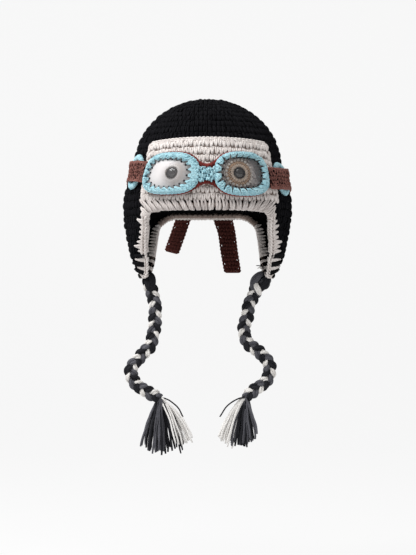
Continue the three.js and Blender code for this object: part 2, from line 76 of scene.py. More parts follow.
def running(steps):
    """Zero, and then the running sum of some steps."""
    return np.concatenate([[0], np.cumsum(steps)])


def turns(count):
    """Angles round a circle in equal steps."""
    return np.linspace(0, 2 * math.pi, count + 1)[:-1]


def eased(value):
    """Zero to one with level ends: three squares less two cubes."""
    value = np.clip(value, 0, 1)
    return value * value * (3 - 2 * value)


def shake(spread, count):
    """A random number for each strand, normal with a spread."""
    return draws.normal(0, spread, (count, 1))


def tree_of(name):
    """A new material and its node tree, empty but for the output."""
    material = bpy.data.materials.new(name)
    material.use_nodes = True
    material.node_tree.nodes.clear()
    output = material.node_tree.nodes.new("ShaderNodeOutputMaterial")
    return material, material.node_tree, output


def add_node(tree, kind, values=(), **settings):
    """A node of a kind, with its own settings and the plain values of its sockets."""
    node = tree.nodes.new(kind)
    for key, value in settings.items():
        setattr(node, key, value)
    for key, value in dict(values).items():
        node.inputs[key].default_value = value
    return node


def feed(tree, node, *sources):
    """The node's first output, if any, once its inputs in turn have taken sockets or numbers."""
    for socket, source in zip(node.inputs, sources):
        if isinstance(source, (int, float)):
            socket.default_value = source
        else:
            tree.links.new(source, socket)
    return node.outputs[0] if node.outputs else None


def plain_material(name, values):
    """A material of one plain shader."""
    material, tree, output = tree_of(name)
    feed(tree, output, add_node(tree, "ShaderNodeBsdfPrincipled", values).outputs[0])
    return material

# %% Floor that sweeps up into a backdrop
FLOOR_DROP = -0.60
FLOOR_HALF = 6.0
BEND_START = 1.6
BEND_RADIUS = 0.7
BACKDROP_TOP = 5.0
bend = np.linspace(0, math.pi / 2, 17)
profile_y = np.concatenate([[-FLOOR_HALF], BEND_START + BEND_RADIUS * np.sin(bend),
                            [BEND_START + BEND_RADIUS]])
profile_z = np.concatenate([[FLOOR_DROP], FLOOR_DROP + BEND_RADIUS * (1 - np.cos(bend)), [BACKDROP_TOP]])
sweep_points = np.stack([np.repeat([-FLOOR_HALF, FLOOR_HALF], len(profile_y)), np.tile(profile_y, 2),
                         np.tile(profile_z, 2)], axis=1)
first = np.arange(len(profile_y) - 1)
second = first + len(profile_y)
sweep_faces = np.stack([first, second, second + 1, first + 1], axis=1)
sweep_mesh = bpy.data.meshes.new("backdrop")
sweep_mesh.from_pydata(sweep_points.tolist(), [], sweep_faces.tolist())
sweep_mesh.polygons.foreach_set("use_smooth", np.ones(len(sweep_faces), bool))
backdrop = bpy.data.objects.new("backdrop", sweep_mesh)
bpy.context.scene.collection.objects.link(backdrop)
sweep_mesh.materials.append(plain_material("pale_paper", {
    "Base Color": (0.16, 0.16, 0.16, 1), "Roughness": 0.9, "Specular IOR Level": 0.0,
    "Emission Color": (0.80, 0.80, 0.80, 1), "Emission Strength": 1.0}))
print("backdrop faces", len(sweep_faces))

# %% World and softboxes
AIM = np.array([0.0, 0.0, -0.16])
world = bpy.data.worlds.new("studio_air")
world.use_nodes = True
world.node_tree.nodes["Background"].inputs["Color"].default_value = (1.0, 1.0, 1.0, 1)
world.node_tree.nodes["Background"].inputs["Strength"].default_value = 0.38
bpy.context.scene.world = world


def softbox(name, place_at, width, height, power):
    """A rectangular area light at a point, turned towards the hat."""
    data = bpy.data.lights.new(name, "AREA")
    data.shape = "RECTANGLE"
    data.size = width
    data.size_y = height
    data.energy = power
    lamp = bpy.data.objects.new(name, data)
    away = unit(np.array(place_at) - AIM)
    lamp.location = place_at
    lamp.rotation_euler = (math.acos(away[2]), 0, math.atan2(away[1], away[0]) + math.pi / 2)
    bpy.context.scene.collection.objects.link(lamp)


softbox("left_softbox", (-0.90, -0.60, 1.20), 0.8, 0.8, 26.0)
softbox("front_softbox", (-0.15, -1.25, 1.50), 0.9, 0.7, 13.0)
print("softboxes", len(bpy.data.lights))

# %% [markdown]
# ## The hat's skin
# Every fabric piece lies on one surface, the same that the solids were made on. A place on it is
# an angle round the head, a drop below the crown's top, and an offset along the outward normal.
# The crown is a half ellipsoid, and below it level oval sections taper into the two earflaps.

# %% Skin of the hat, in millimetres
WALL = 5.0
DOME_HEIGHT = 82.0
DOME_SIDE = 88.5
DOME_FRONT = 96.0
DOME_BACK = 100.0
DOME_END = 78.0
# Columns: drop, left, right, front and back reach, and the middle's shift along Y.
SECTIONS = np.array([
    [78, 88.4, 88.6, 95.9, 99.9, 0], [90, 90.8, 92, 97, 100.3, 0], [101, 95.4, 94.8, 98, 100.4, 0],
    [112, 99.4, 98.6, 98.4, 100.2, 0], [126, 101, 101, 98.5, 99.5, 0],
    [140, 100.4, 100.4, 98, 97, 0], [157, 98.2, 97.8, 83.4, 81.6, -3.7],
    [169, 96.3, 96, 71.5, 69.6, -6.4], [182, 93.8, 93.4, 56.2, 54.7, -9.2],
    [194, 90, 89, 42, 41, -11.8], [203, 85.5, 83.8, 32, 31, -13.8],
    [209, 81.2, 78.6, 28, 27.5, -15.1], [214, 78.4, 75.6, 25, 25, -16]])


def smooth_column(table, column, value):
    """Cubic Hermite through a table's column, with slopes taken between each row's neighbours."""
    at = table[:, 0]
    height = table[:, column]
    before = np.maximum(np.arange(len(at)) - 1, 0)
    after = np.minimum(np.arange(len(at)) + 1, len(at) - 1)
    slope = (height[after] - height[before]) / (at[after] - at[before])
    i = np.clip(np.searchsorted(at, value, side="right") - 1, 0, len(at) - 2)
    span = at[i + 1] - at[i]
    t = np.clip((value - at[i]) / span, 0, 1)
    return ((2 * t**3 - 3 * t**2 + 1) * height[i] + (t**3 - 2 * t**2 + t) * span * slope[i]
            + (3 * t**2 - 2 * t**3) * height[i + 1] + (t**3 - t**2) * span * slope[i + 1])


def skin(phi, drop):
    """The skin's point: an ellipse at each drop, of the dome's size above and the table's below."""
    phi, drop = np.broadcast_arrays(np.asarray(phi, float), np.asarray(drop, float))
    sideways = np.sin(np.radians(phi))
    forwards = np.cos(np.radians(phi))
    k = np.sqrt(np.clip(1 - (1 - np.minimum(drop, DOME_HEIGHT) / DOME_HEIGHT) ** 2, 0, 1))
    below = drop > DOME_END
    low_side = np.where(sideways < 0, smooth_column(SECTIONS, 1, drop), smooth_column(SECTIONS, 2, drop))
    low_reach = np.where(forwards > 0, smooth_column(SECTIONS, 3, drop), smooth_column(SECTIONS, 4, drop))
    side = np.where(below, low_side, DOME_SIDE * k)
    reach = np.where(below, low_reach, np.where(forwards > 0, DOME_FRONT, DOME_BACK) * k)
    shift = np.where(below, smooth_column(SECTIONS, 5, drop), 0)
    return np.stack([side * sideways, shift - reach * forwards, WALL - drop], axis=-1)


def lay(phi, drop, offset):
    """Points an offset outside the skin, and the outward normals there."""
    phi, drop, offset = np.broadcast_arrays(*(np.asarray(v, float) for v in (phi, drop, offset)))
    step = np.minimum(0.5, 0.15 * drop + 1e-3)
    around = skin(phi + 0.5, drop) - skin(phi - 0.5, drop)
    down = skin(phi, drop + step) - skin(phi, drop - step)
    out = unit(np.cross(down, around))
    return skin(phi, drop) + offset[..., None] * out, out


def arc_of(phi, drop):
    """Millimetres for each degree round the skin."""
    return np.linalg.norm(skin(phi + 0.5, drop) - skin(phi - 0.5, drop), axis=-1)


# The length down the skin, taken as the mean of four meridians, against the drop.
run_drops = np.concatenate([DOME_HEIGHT * (1 - np.cos(np.linspace(0, math.pi / 2, 300))),
                            np.linspace(DOME_HEIGHT + 0.5, 214, 260)])
meridians = skin(np.array([0, 90, 180, 270])[:, None], run_drops[None, :])
run_steps = np.linalg.norm(np.diff(meridians, axis=1), axis=-1).mean(axis=0)
run_lengths = running(run_steps)


def drop_at(run):
    """The drop at a length down the skin from the crown's top."""
    return np.interp(run, run_lengths, run_drops)


def run_at(drop):
    """The length down the skin from the crown's top to a drop."""
    return np.interp(drop, run_drops, run_lengths)


print("length from the top to the rim, mm", round(float(run_at(133)), 1))


# %% [markdown]
# ## Yarn as geometry
# A strand of yarn is a round profile carried along a path. Thousands of short strands are worked
# out in one go: all their paths are one array, and so are all their rings. Each strand keeps a UV
# map, with metres along it and turns round it, so that the plies of the yarn can follow it, and a
# tint of its own, because no two stitches catch the light alike.

# %% Strands, slabs and meshes
def quads(i, j, corner):
    """The corners of each square between rows i and i + 1 and columns j and j + 1."""
    return np.stack([corner(i, j), corner(i + 1, j), corner(i + 1, j + 1), corner(i, j + 1)], axis=-1)


def strands(paths, ups, width, sides=6, ends=0.5, closed=False, paint=0):
    """Tubes round N paths of K points: ring = path + side cos(a) width + up sin(a) width."""
    paths = np.asarray(paths, float)
    count, length, _ = paths.shape
    if closed:
        along = unit(np.roll(paths, -1, axis=1) - np.roll(paths, 1, axis=1))
    else:
        along = unit(np.gradient(paths, axis=1))
    side = unit(np.cross(along, np.broadcast_to(np.asarray(ups, float), paths.shape)))
    top = np.cross(side, along)
    swell = np.ones(length)
    if not closed:
        swell[[0, -1]] = ends
    width = (np.broadcast_to(np.asarray(width, float), (count, length)) * swell)[..., None]
    turn = 2 * math.pi * np.arange(sides) / sides
    rings = (paths[:, :, None] + (width * np.cos(turn))[..., None] * side[:, :, None]
             + (width * np.sin(turn))[..., None] * top[:, :, None])
    spans = length if closed else length - 1
    steps = np.linalg.norm(np.diff(paths, axis=1, append=paths[:, :1]), axis=-1)[:, :spans]
    travelled = np.concatenate([np.zeros((count, 1)), np.cumsum(steps, axis=1)], axis=1) * MM
    travelled += draws.uniform(0, 0.01, (count, 1))
    n = np.arange(count)[:, None, None]
    j = np.arange(sides)[None, None, :]
    faces = quads(np.arange(spans)[None, :, None], j,
                  lambda row, column: (n * length + row % length) * sides + column % sides)
    u = [np.broadcast_to(travelled[:, k:spans + k, None], faces.shape[:-1]) for k in (0, 1)]
    v = [np.broadcast_to(j / sides + k / sides, faces.shape[:-1]) for k in (0, 1)]
    uv = np.stack([np.stack([u[a], v[b]], -1) for a, b in ((0, 0), (1, 0), (1, 1), (0, 1))], axis=-2)
    groups = [(faces.reshape(-1, 4), uv.reshape(-1, 4, 2))]
    if not closed:
        first_cap = np.arange(count)[:, None] * length * sides + np.arange(sides)[None, :]
        last_cap = first_cap[:, ::-1] + (length - 1) * sides
        spread = np.broadcast_to(np.arange(sides) / sides, (count, sides))
        cap_uv = np.stack([np.broadcast_to(travelled[:, :1], (count, sides)), spread], axis=-1)
        groups += [(first_cap, cap_uv), (last_cap, cap_uv)]
    tint = np.repeat(draws.normal(0, 1, count), length * sides)
    return {"points": rings.reshape(-1, 3), "groups": groups, "tint": tint, "paint": paint}


def turned_strands(place, along, *others, step=0.5, width=1.0, **looks):
    """Strands whose upper side looks along their row, to the places a step further on."""
    points = place(along, *others)[0]
    return strands(points, unit(place(along + step, *others)[0] - points), width, **looks)


def grid_part(grid, wrap_rows=False, wrap_columns=False):
    """Faces over a grid of points [row, column], which may join round either way."""
    rows, columns = grid.shape[:2]
    i = np.arange(rows if wrap_rows else rows - 1)[:, None]
    j = np.arange(columns if wrap_columns else columns - 1)[None, :]
    faces = quads(i, j, lambda r, c: (r % rows) * columns + c % columns).reshape(-1, 4)
    along = np.cumsum(np.linalg.norm(np.diff(grid, axis=0, prepend=grid[:1]), axis=-1), axis=0) * MM
    over = np.cumsum(np.linalg.norm(np.diff(grid, axis=1, prepend=grid[:, :1]), axis=-1), axis=1) * MM
    flat = np.stack([along, over], axis=-1).reshape(-1, 2)
    return {"points": grid.reshape(-1, 3), "groups": [(faces, flat[faces])],
            "tint": np.zeros(rows * columns), "paint": 0}


def slab(outer, inner, wrap=False):
    """A closed shell between two grids [row, column]: both faces, and the walls at the edges."""
    rows, columns = outer.shape[:2]
    part = grid_part(np.concatenate([outer, inner[::-1]], axis=0), wrap_rows=True, wrap_columns=wrap)
    top = np.arange(rows)
    for column, turned in () if wrap else ((0, True), (columns - 1, False)):
        near_ids = top * columns + column
        far_ids = (2 * rows - 1 - top) * columns + column
        wall = np.stack([near_ids[:-1], near_ids[1:], far_ids[1:], far_ids[:-1]], axis=-1)
        part["groups"].append((wall[:, ::-1] if turned else wall, np.zeros((len(wall), 4, 2))))
    return part


def welded(part):
    """The part with equal points joined, and its faces as triangles without collapsed ones."""
    key = np.round(part["points"] / 1e-4).astype(np.int64)
    _, keep, ids = np.unique(key, axis=0, return_index=True, return_inverse=True)
    faces = np.concatenate([ids.reshape(-1)[f] for f, _ in part["groups"]])
    uv = np.concatenate([u for _, u in part["groups"]])
    triangles = np.concatenate([faces[:, [0, 1, 2]], faces[:, [0, 2, 3]]])
    corners = np.concatenate([uv[:, [0, 1, 2]], uv[:, [0, 2, 3]]])
    whole = (triangles != np.roll(triangles, -1, axis=1)).all(axis=1)
    return {"points": part["points"][keep], "groups": [(triangles[whole], corners[whole])],
            "tint": part["tint"][keep], "paint": part["paint"]}


def outward(part, paint=0):
    """The part turned so that its faces point out: the signed volume of its faces is positive."""
    points = part["points"]
    volume = sum(
        float((points[f[:, 0]] * np.cross(points[f[:, k]], points[f[:, k + 1]])).sum())
        for f, _ in part["groups"] for k in range(1, f.shape[1] - 1))
    if volume < 0:
        part["groups"] = [(f[:, ::-1], u[:, ::-1]) for f, u in part["groups"]]
    part["paint"] = paint
    return part


def shell_between(place, top, low, wrap=False, paint=0):
    """A closed shell between the grids that a place function gives at a top and a low offset."""
    return outward(welded(slab(place(top), place(low), wrap=wrap)), paint)


def hoop(grid, paint=0):
    """A closed tube through rows of points that join round both ways."""
    return outward(grid_part(np.array(grid), wrap_rows=True, wrap_columns=True), paint)


def poled(grid):
    """The grid with its first row drawn together into one point."""
    grid[0] = grid[0].mean(axis=0)
    return grid


def lattice(columns, rows):
    """The columns' middles and the rows' numbers of a lattice, each as one upright array."""
    across, down = np.meshgrid(np.arange(columns) + 0.5, np.arange(rows))
    return across.reshape(-1, 1), down.reshape(-1, 1)


total_triangles = 0


def make_piece(name, parts, materials, node=None):
    """One mesh object from parts in millimetres; each part's paint picks one of the materials."""
    global total_triangles
    offsets = np.cumsum([0] + [len(part["points"]) for part in parts])
    points = np.concatenate([part["points"] for part in parts]) * MM
    groups = [(f + start, u) for part, start in zip(parts, offsets) for f, u in part["groups"]]
    corners = np.concatenate([f.reshape(-1) for f, _ in groups])
    sizes = np.concatenate([np.full(len(f), f.shape[1]) for f, _ in groups])
    paints = np.concatenate([np.full(len(f), part["paint"]) for part in parts for f, _ in part["groups"]])
    mesh = bpy.data.meshes.new(name)
    mesh.vertices.add(len(points))
    mesh.vertices.foreach_set("co", points.astype(np.float32).ravel())
    mesh.loops.add(len(corners))
    mesh.loops.foreach_set("vertex_index", corners.astype(np.int32))
    mesh.polygons.add(len(sizes))
    mesh.polygons.foreach_set("loop_start", running(sizes)[:-1].astype(np.int32))
    mesh.polygons.foreach_set("use_smooth", np.ones(len(sizes), bool))
    for material in materials:
        mesh.materials.append(material)
    mesh.polygons.foreach_set("material_index", paints.astype(np.int32))
    uv = np.concatenate([u.reshape(-1, 2) for _, u in groups])
    mesh.uv_layers.new(name="strand").data.foreach_set("uv", uv.astype(np.float32).ravel())
    tint = np.concatenate([part["tint"] for part in parts])
    mesh.attributes.new("tint", "FLOAT", "POINT").data.foreach_set("value", tint.astype(np.float32))
    mesh.update(calc_edges=True)
    piece = bpy.data.objects.new(name, mesh)
    bpy.context.scene.collection.objects.link(piece)
    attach(piece, "root")
    if node:
        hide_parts(node)
    triangles = int((sizes - 2).sum())
    total_triangles += triangles
    print(f"{name}: {triangles} triangles")
    return piece

# %% [markdown]
# ## Yarn materials
# The yarn is a soft cotton of several plies. Its plies are a fine twist that follows each strand:
# the sine of the length along plus the turns round gives the spiral, for both the bump and the
# painted shade between the plies. A little noise stands for the loose fibres. A softer way would
# be real hair, which is far too heavy here.

# %% Yarn materials
PLY_LENGTH = 0.0075


def yarn(name, colour, shade, sheen=0.12, specular=0.15, twist=0.5):
    """Cotton yarn: colour on the plies and painted shade between them, each strand a little lighter or
    darker.
    """
    material, tree, output = tree_of(name)

    def sum_of(operation, first, second):
        return feed(tree, add_node(tree, "ShaderNodeMath", operation=operation), first, second)

    def add(first, second):
        return sum_of("ADD", first, second)

    def times(first, second):
        return sum_of("MULTIPLY", first, second)

    split = add_node(tree, "ShaderNodeSeparateXYZ")
    feed(tree, split, add_node(tree, "ShaderNodeUVMap", uv_map="strand").outputs[0])
    spiral = add(times(split.outputs[0], 2 * math.pi / PLY_LENGTH), times(split.outputs[1], 6 * math.pi))
    ply = feed(tree, add_node(tree, "ShaderNodeMath", operation="SINE"), spiral)
    place_of = add_node(tree, "ShaderNodeTexCoord").outputs["Object"]
    fibres = add_node(tree, "ShaderNodeTexNoise", {"Scale": 1500.0, "Detail": 2.0, "Roughness": 0.65})
    patches = add_node(tree, "ShaderNodeTexNoise", {"Scale": 60.0, "Detail": 1.0})
    for noise in (fibres, patches):
        tree.links.new(place_of, noise.inputs["Vector"])
    tint = add_node(tree, "ShaderNodeAttribute", attribute_name="tint").outputs["Fac"]
    # The ply's sine moves the colour towards the shade colour in the grooves: painted shade. The two noises
    # and the tint add random tone.
    light = add(times(ply, 0.22 * twist), 0.62)
    fibre_part = times(sum_of("SUBTRACT", fibres.outputs[0], 0.5), 0.9)
    patch_part = times(sum_of("SUBTRACT", patches.outputs[0], 0.5), 0.5)
    amount = add(add(light, fibre_part), add(times(tint, 0.10), patch_part))
    amount.node.use_clamp = True
    mix = add_node(tree, "ShaderNodeMix", data_type="RGBA")
    for socket, value in zip([s for s in mix.inputs if s.type == "RGBA"], (shade, colour)):
        socket.default_value = (*value, 1)
    tree.links.new(amount, mix.inputs[0])
    bump = add_node(tree, "ShaderNodeBump", {"Strength": 0.55, "Distance": 0.0004})
    tree.links.new(add(times(ply, twist), times(fibres.outputs[0], 0.8)), bump.inputs["Height"])
    shader = add_node(tree, "ShaderNodeBsdfPrincipled", {
        "Roughness": 0.9, "Specular IOR Level": specular, "Sheen Weight": sheen, "Sheen Roughness": 0.5,
        "Sheen Tint": (1, 1, 1, 1)})
    tree.links.new([s for s in mix.outputs if s.type == "RGBA"][0], shader.inputs["Base Color"])
    tree.links.new(bump.outputs[0], shader.inputs["Normal"])
    feed(tree, output, shader.outputs[0])
    return material


BLACK = yarn("black_cotton", (0.0085, 0.0083, 0.0100), (0.0024, 0.0024, 0.0030), sheen=0.0, specular=0.05)
CREAM = yarn("cream_cotton", (0.79, 0.745, 0.72), (0.52, 0.46, 0.43))
# The darker cream is painted shade: the ground behind the cream stitches, and the dots between them.
CREAM_PAINTED_SHADE = yarn("cream_cotton_painted_shade", (0.33, 0.26, 0.23), (0.14, 0.105, 0.09), sheen=0.0)
# A darker copy of the cream for the brow's posts: painted shade, as the brow lies in the goggles' shade. Its
# stronger twist is the yarn's own.
CREAM_BROW_SHADED = yarn("cream_cotton_brow_painted_shade", (0.70, 0.65, 0.625), (0.30, 0.255, 0.24), sheen=0.05, twist=0.9)
BLUE = yarn("sky_blue_cotton", (0.50, 0.745, 0.80), (0.15, 0.38, 0.47), twist=0.9)
# The darker blue is painted shade under the stitches of the frames, the bridge and the rings.
BLUE_PAINTED_SHADE = yarn("sky_blue_cotton_painted_shade", (0.07, 0.25, 0.36), (0.025, 0.09, 0.15), sheen=0.0)
BROWN = yarn("brown_cotton", (0.300, 0.128, 0.105), (0.075, 0.025, 0.020), sheen=0.05, twist=0.9)
# The darker brown is painted shade in the gaps of the strap and the knot.
BROWN_PAINTED_SHADE = yarn("brown_cotton_painted_shade", (0.030, 0.009, 0.008), (0.010, 0.003, 0.003), sheen=0.0)
MAROON = yarn("maroon_cotton", (0.088, 0.0265, 0.0215), (0.026, 0.0072, 0.0064), sheen=0.0, specular=0.08)
RUST = yarn("rust_cotton", (0.25, 0.040, 0.032), (0.055, 0.009, 0.008), sheen=0.05)
# Tan, sand and pale cream are lightened for the eyes: painted light against the shade under the lenses and
# frames.
TAN = yarn("tan_cotton", (0.70, 0.49, 0.34), (0.36, 0.20, 0.11))
SAND = yarn("sand_cotton", (0.93, 0.80, 0.68), (0.62, 0.47, 0.36))
PALE = yarn("pale_cream_cotton", (0.97, 0.92, 0.86), (0.80, 0.72, 0.64))
GREY = yarn("grey_cotton", (0.118, 0.118, 0.134), (0.040, 0.040, 0.047), sheen=0.05)
COAL = yarn("charcoal_cotton", (0.022, 0.0225, 0.027), (0.0065, 0.0067, 0.0085), sheen=0.02, specular=0.10)
WHITE = yarn("white_cotton", (0.86, 0.84, 0.81), (0.58, 0.55, 0.52))
LOOSE_WHITE = yarn("white_loose_cotton", (0.88, 0.86, 0.835), (0.72, 0.70, 0.675), twist=0.3)
print("yarns", [m.name for m in bpy.data.materials if "cotton" in m.name])

# %% [markdown]
# ## Braided ties
# Each tie is a flat plait of three bundles, black, grey and white. A plait is a wave: every
# bundle swings from side to side as a sine and over and under as a sine of twice the speed, and
# the three are a third of a turn apart. Here a bundle is itself three strands that twist slowly
# round each other, so the plies show. The routes follow those of the solids.

# %% Routes of the ties, in millimetres
# The plait's first turn, and its route from the flap's tip to the tassel.
TIES = {
    "left": (0.6, np.array([
        [-71.9, -16, -209.1], [-71.7, -16.2, -213.5], [-65, -17, -229], [-62.1, -17.5, -247.3],
        [-62.7, -17, -261.5], [-64.5, -17, -275.8], [-68.7, -17, -290.1], [-79, -17, -302],
        [-88, -17, -312], [-91.3, -17, -321], [-88.9, -17, -330.6], [-80.6, -17, -338.9],
        [-69.2, -17, -346.2], [-55.2, -17, -351.8]])),
    "right": (2.4, np.array([
        [71.9, -16, -209.1], [68.5, -16.2, -214], [59, -17, -221], [54, -17, -231], [49.1, -17.5, -242.5],
        [47, -17, -255], [43.2, -17, -272.3], [45.6, -17, -281.8], [51.5, -17, -290.1],
        [62.2, -17, -298], [70.6, -17, -306.8], [74.2, -17, -317.5], [72.5, -17, -327],
        [64.6, -17, -336.5], [53.6, -17, -344.2], [43.0, -17, -351.8]])),
}
TOWARDS_VIEWER = [0.0, -1.0, 0.0]


def smooth_route(points, count):
    """A centripetal Catmull-Rom curve through the points, resampled to equal steps."""
    padded = np.vstack([2 * points[0] - points[1], points, 2 * points[-1] - points[-2]])
    knots = running(np.linalg.norm(np.diff(padded, axis=0), axis=1) ** 0.5)
    fine = []
    for k in range(1, len(padded) - 2):
        at = knots[k - 1:k + 3]
        t = np.linspace(at[1], at[2], 25)[:, None]
        mixed = list(padded[k - 1:k + 3])
        # Three rounds of blending between neighbours, each over a wider span of knots.
        for spans in (((0, 1), (1, 2), (2, 3)), ((0, 2), (1, 3)), ((1, 2),)):
            mixed = [((at[b] - t) * mixed[n] + (t - at[a]) * mixed[n + 1]) / (at[b] - at[a])
                     for n, (a, b) in enumerate(spans)]
        fine.append(mixed[0])
    fine = np.vstack(fine)
    travelled = running(np.linalg.norm(np.diff(fine, axis=0), axis=1))
    even = np.linspace(0, travelled[-1], count)
    return np.stack([np.interp(even, travelled, fine[:, k]) for k in range(3)], axis=1), travelled[-1]


def axes_of(line):
    """The directions across a line and towards the viewer, at each of its points."""
    along = unit(np.gradient(line, axis=0))
    sideways = unit(np.cross(along, TOWARDS_VIEWER))
    return sideways, np.cross(sideways, along)

# %% The plait
PLAIT_PERIOD = 23.6
PLAIT_REACH = 4.5
PLAIT_DEPTH = 2.5
BUNDLE_TURN = 30.0
STRAND = 1.95
TAPER = 9.0
# The white bundle has fewer yarns than the black and the grey one.
BUNDLE_SIZE = (1.1, 1.06, 0.84)


def plait(route, start_turn):
    """Three bundles of three strands along a route: sine sideways, sine of twice the speed in depth."""
    line, length = smooth_route(route, 190)
    sideways, forwards = axes_of(line)
    travelled = np.linspace(0, length, len(line))
    narrow = 1 - 0.55 * np.clip((travelled - length + TAPER) / TAPER, 0, 1) ** 2
    narrow = narrow * (1 - 0.4 * np.clip((TAPER - travelled) / TAPER, 0, 1))
    bundles = []
    for bundle in range(3):
        turn = start_turn + 2 * math.pi * (travelled / PLAIT_PERIOD + bundle / 3)
        reach = PLAIT_REACH * np.sin(turn) * narrow
        depth = PLAIT_DEPTH * np.sin(2 * turn) * narrow
        core = line + reach[:, None] * sideways + depth[:, None] * forwards
        core_along = unit(np.gradient(core, axis=0))
        across_core = unit(np.cross(core_along, forwards))
        above_core = np.cross(across_core, core_along)
        own = 2 * math.pi * (travelled / BUNDLE_TURN)[None, :] + 2 * math.pi * np.arange(3)[:, None] / 3
        yarn_reach = STRAND * BUNDLE_SIZE[bundle] * narrow
        spin = (yarn_reach * np.stack([np.cos(own), np.sin(own)]))[..., None]
        paths = core + spin[0] * across_core + spin[1] * above_core
        bundles.append(strands(paths, above_core, yarn_reach * 1.06, sides=7, paint=bundle))
    return line, length, bundles


def folded_loop(points, radius, paint):
    """A soft fold of the bundle at the flap's tip: four strands side by side on one bent line."""
    line, _ = smooth_route(np.array(points, float), 18)
    sideways, forwards = axes_of(line)
    lanes = np.array([-1.5, -0.5, 0.5, 1.5])[:, None, None] * radius * 1.35
    swing = np.sin(np.linspace(0, math.pi, len(line)))[None, :, None]
    paths = line + lanes * (0.45 + 0.55 * swing) * sideways - 0.35 * np.abs(lanes) * forwards
    return strands(paths, -forwards, radius, sides=7, ends=0.6, paint=paint)


# Each fold: its points, its strands' radius and its paint.
TIE_FOLDS = {
    "left": [
        ([[-71, -19, -202.5], [-66.3, -24, -207.5], [-65.4, -25, -214], [-67, -23, -221],
          [-70, -20, -227]], 1.35, 0),
        ([[-71, -18, -205.5], [-71.4, -23, -212], [-70.5, -24, -219], [-67, -22, -226]], 1.35, 0)],
    "right": [
        ([[66, -19, -203], [60, -24, -206.5], [55.3, -26, -212], [54, -24, -218], [55, -20, -224]], 1.55, 1),
        ([[66, -18, -205], [69.3, -24, -209], [69.3, -26, -214.5], [65, -25, -220], [60, -20, -225]], 1.5, 0),
        ([[67, -17, -203], [63.5, -19, -207], [61.5, -20, -213], [60, -19, -219], [57, -18, -226]], 1.5, 0),
        ([[57, -24, -214], [57.5, -27, -218.5], [60, -26, -223.5], [62.5, -20, -229.5]], 1.15, 2)],
}
LOOSE_ROOT = np.array([66.5, -19, -198])
tie_lines = {}
for side_name, (start_turn, route) in TIES.items():
    line, length, bundles = plait(route, start_turn)
    tie_lines[side_name] = line
    print(f"tie_{side_name} length, mm", round(length, 1))
    tie = make_piece(f"plait_{side_name}", bundles, [COAL, GREY, WHITE], f"tie_{side_name}")
    folds = [folded_loop(*fold) for fold in TIE_FOLDS[side_name]]
    if side_name == "right":
        # Seven short loose ends stick out of the flap's inner tip, in black and in white.
        t = np.linspace(0, 1, 6)[None, :, None]
        tips = np.array([61.0, -24, -198]) + draws.normal(0, 1, (7, 3)) * np.array([2.8, 1.2, 2.2])
        sag = np.array([0.0, -2.5, 1.5]) * np.sin(math.pi * t)
        ends = LOOSE_ROOT + (tips[:, None] - LOOSE_ROOT) * t + sag
        folds.append(strands(ends[:4], TOWARDS_VIEWER, 0.55, paint=0))
        folds.append(strands(ends[4:], TOWARDS_VIEWER, 0.6, paint=2))
    make_piece(f"plait_{side_name}_folds", folds, [COAL, GREY, WHITE])

# %% [markdown]
# ## Crocheted fabric
# A crochet stitch is a loop of yarn that is pulled through the one below. What the eye reads is a
# column of two leaning legs over a short bar, so each stitch here is two or three curved strands.
# The strands are drawn once in a small square, one unit wide and one high, and then carried to
# every place of a lattice on the skin. A smooth shell behind them closes the fabric.

# %% One stitch carried to a lattice of places
T5 = np.linspace(0, 1, 5)
T4 = np.linspace(0, 1, 4)


def leg(across, down, out, radius):
    """One strand of a stitch: a path of (across, down, out) and its radius in mm."""
    return np.stack([across, down, out], 1), radius


POST = [leg(-0.23 + 0.12 * T5, 0.02 + 0.99 * T5, 0.90 * np.sin(math.pi * T5) - 0.30, 1.42),
        leg(0.13 + 0.12 * T5, 0.05 + 0.99 * T5, 0.62 * np.sin(math.pi * T5) - 0.42, 1.42),
        leg(-0.52 + 1.04 * T4, 0.10 - 0.06 * T4, -0.45 + 0.45 * np.sin(math.pi * T4), 1.05)]
VEE = [leg(lean * (0.05 + 0.25 * np.sin(math.pi / 2 * T5)), 1.02 - 0.92 * T5,
           -0.35 + 0.95 * np.sin(math.pi * (0.15 + 0.75 * T5)), 1.32) for lean in (-1, 1)]
VEE += [leg(-0.5 + T4, 0.10 - 0.05 * np.cos(2 * math.pi * T4), -0.75 + 0.25 * np.sin(math.pi * T4), 0.95)]


def stitch_field(stitch, place_fn, count, sides=5, scatter=0.035, lift=0.12, size=1.0, paint=0):
    """A stitch's strands at every place of a lattice; place_fn turns (across, down, out) to points."""
    parts = []
    for path, radius in stitch:
        jitter = draws.normal(0, 1, (3, count, 1)) * np.array([scatter, scatter, lift])[:, None, None]
        lean = shake(0.05, count)
        down = path[:, 1] + jitter[1]
        side = path[:, 0] + jitter[0] + lean * (down - 0.5)
        points, normals = place_fn(side, down, path[:, 2] * size + jitter[2])
        parts.append(strands(points, normals, radius * size, sides=sides, ends=0.6, paint=paint))
    return parts


def knit(place_fn, columns, rows, shift=0.0, **looks):
    """Vee stitches over a patch: place_fn takes the shares across and down it, and the offset.

    Every second row is shifted by a part of a stitch."""
    across, row = lattice(columns, rows)
    across = across + shift * (row % 2)

    def in_shares(side, down, out):
        return place_fn((across + side) / columns, (row + down) / rows, out)

    return stitch_field(VEE, in_shares, len(row), **looks)


def fabric(rows, base, stitch, **looks):
    """Stitches on the skin for rows of (angles, length down the skin, step, height)."""
    count = sum(len(row[0]) for row in rows)
    phi = np.concatenate([row[0] for row in rows])[:, None]
    top_run, step, height = (np.concatenate([np.broadcast_to(row[k], len(row[0])) for row in rows])[:, None]
                             for k in (1, 2, 3))

    def place_fn(side, down, out):
        return lay(phi + side * step, drop_at(np.maximum(top_run + down * height, 0.4)), base + out)

    return stitch_field(stitch, place_fn, count, **looks)


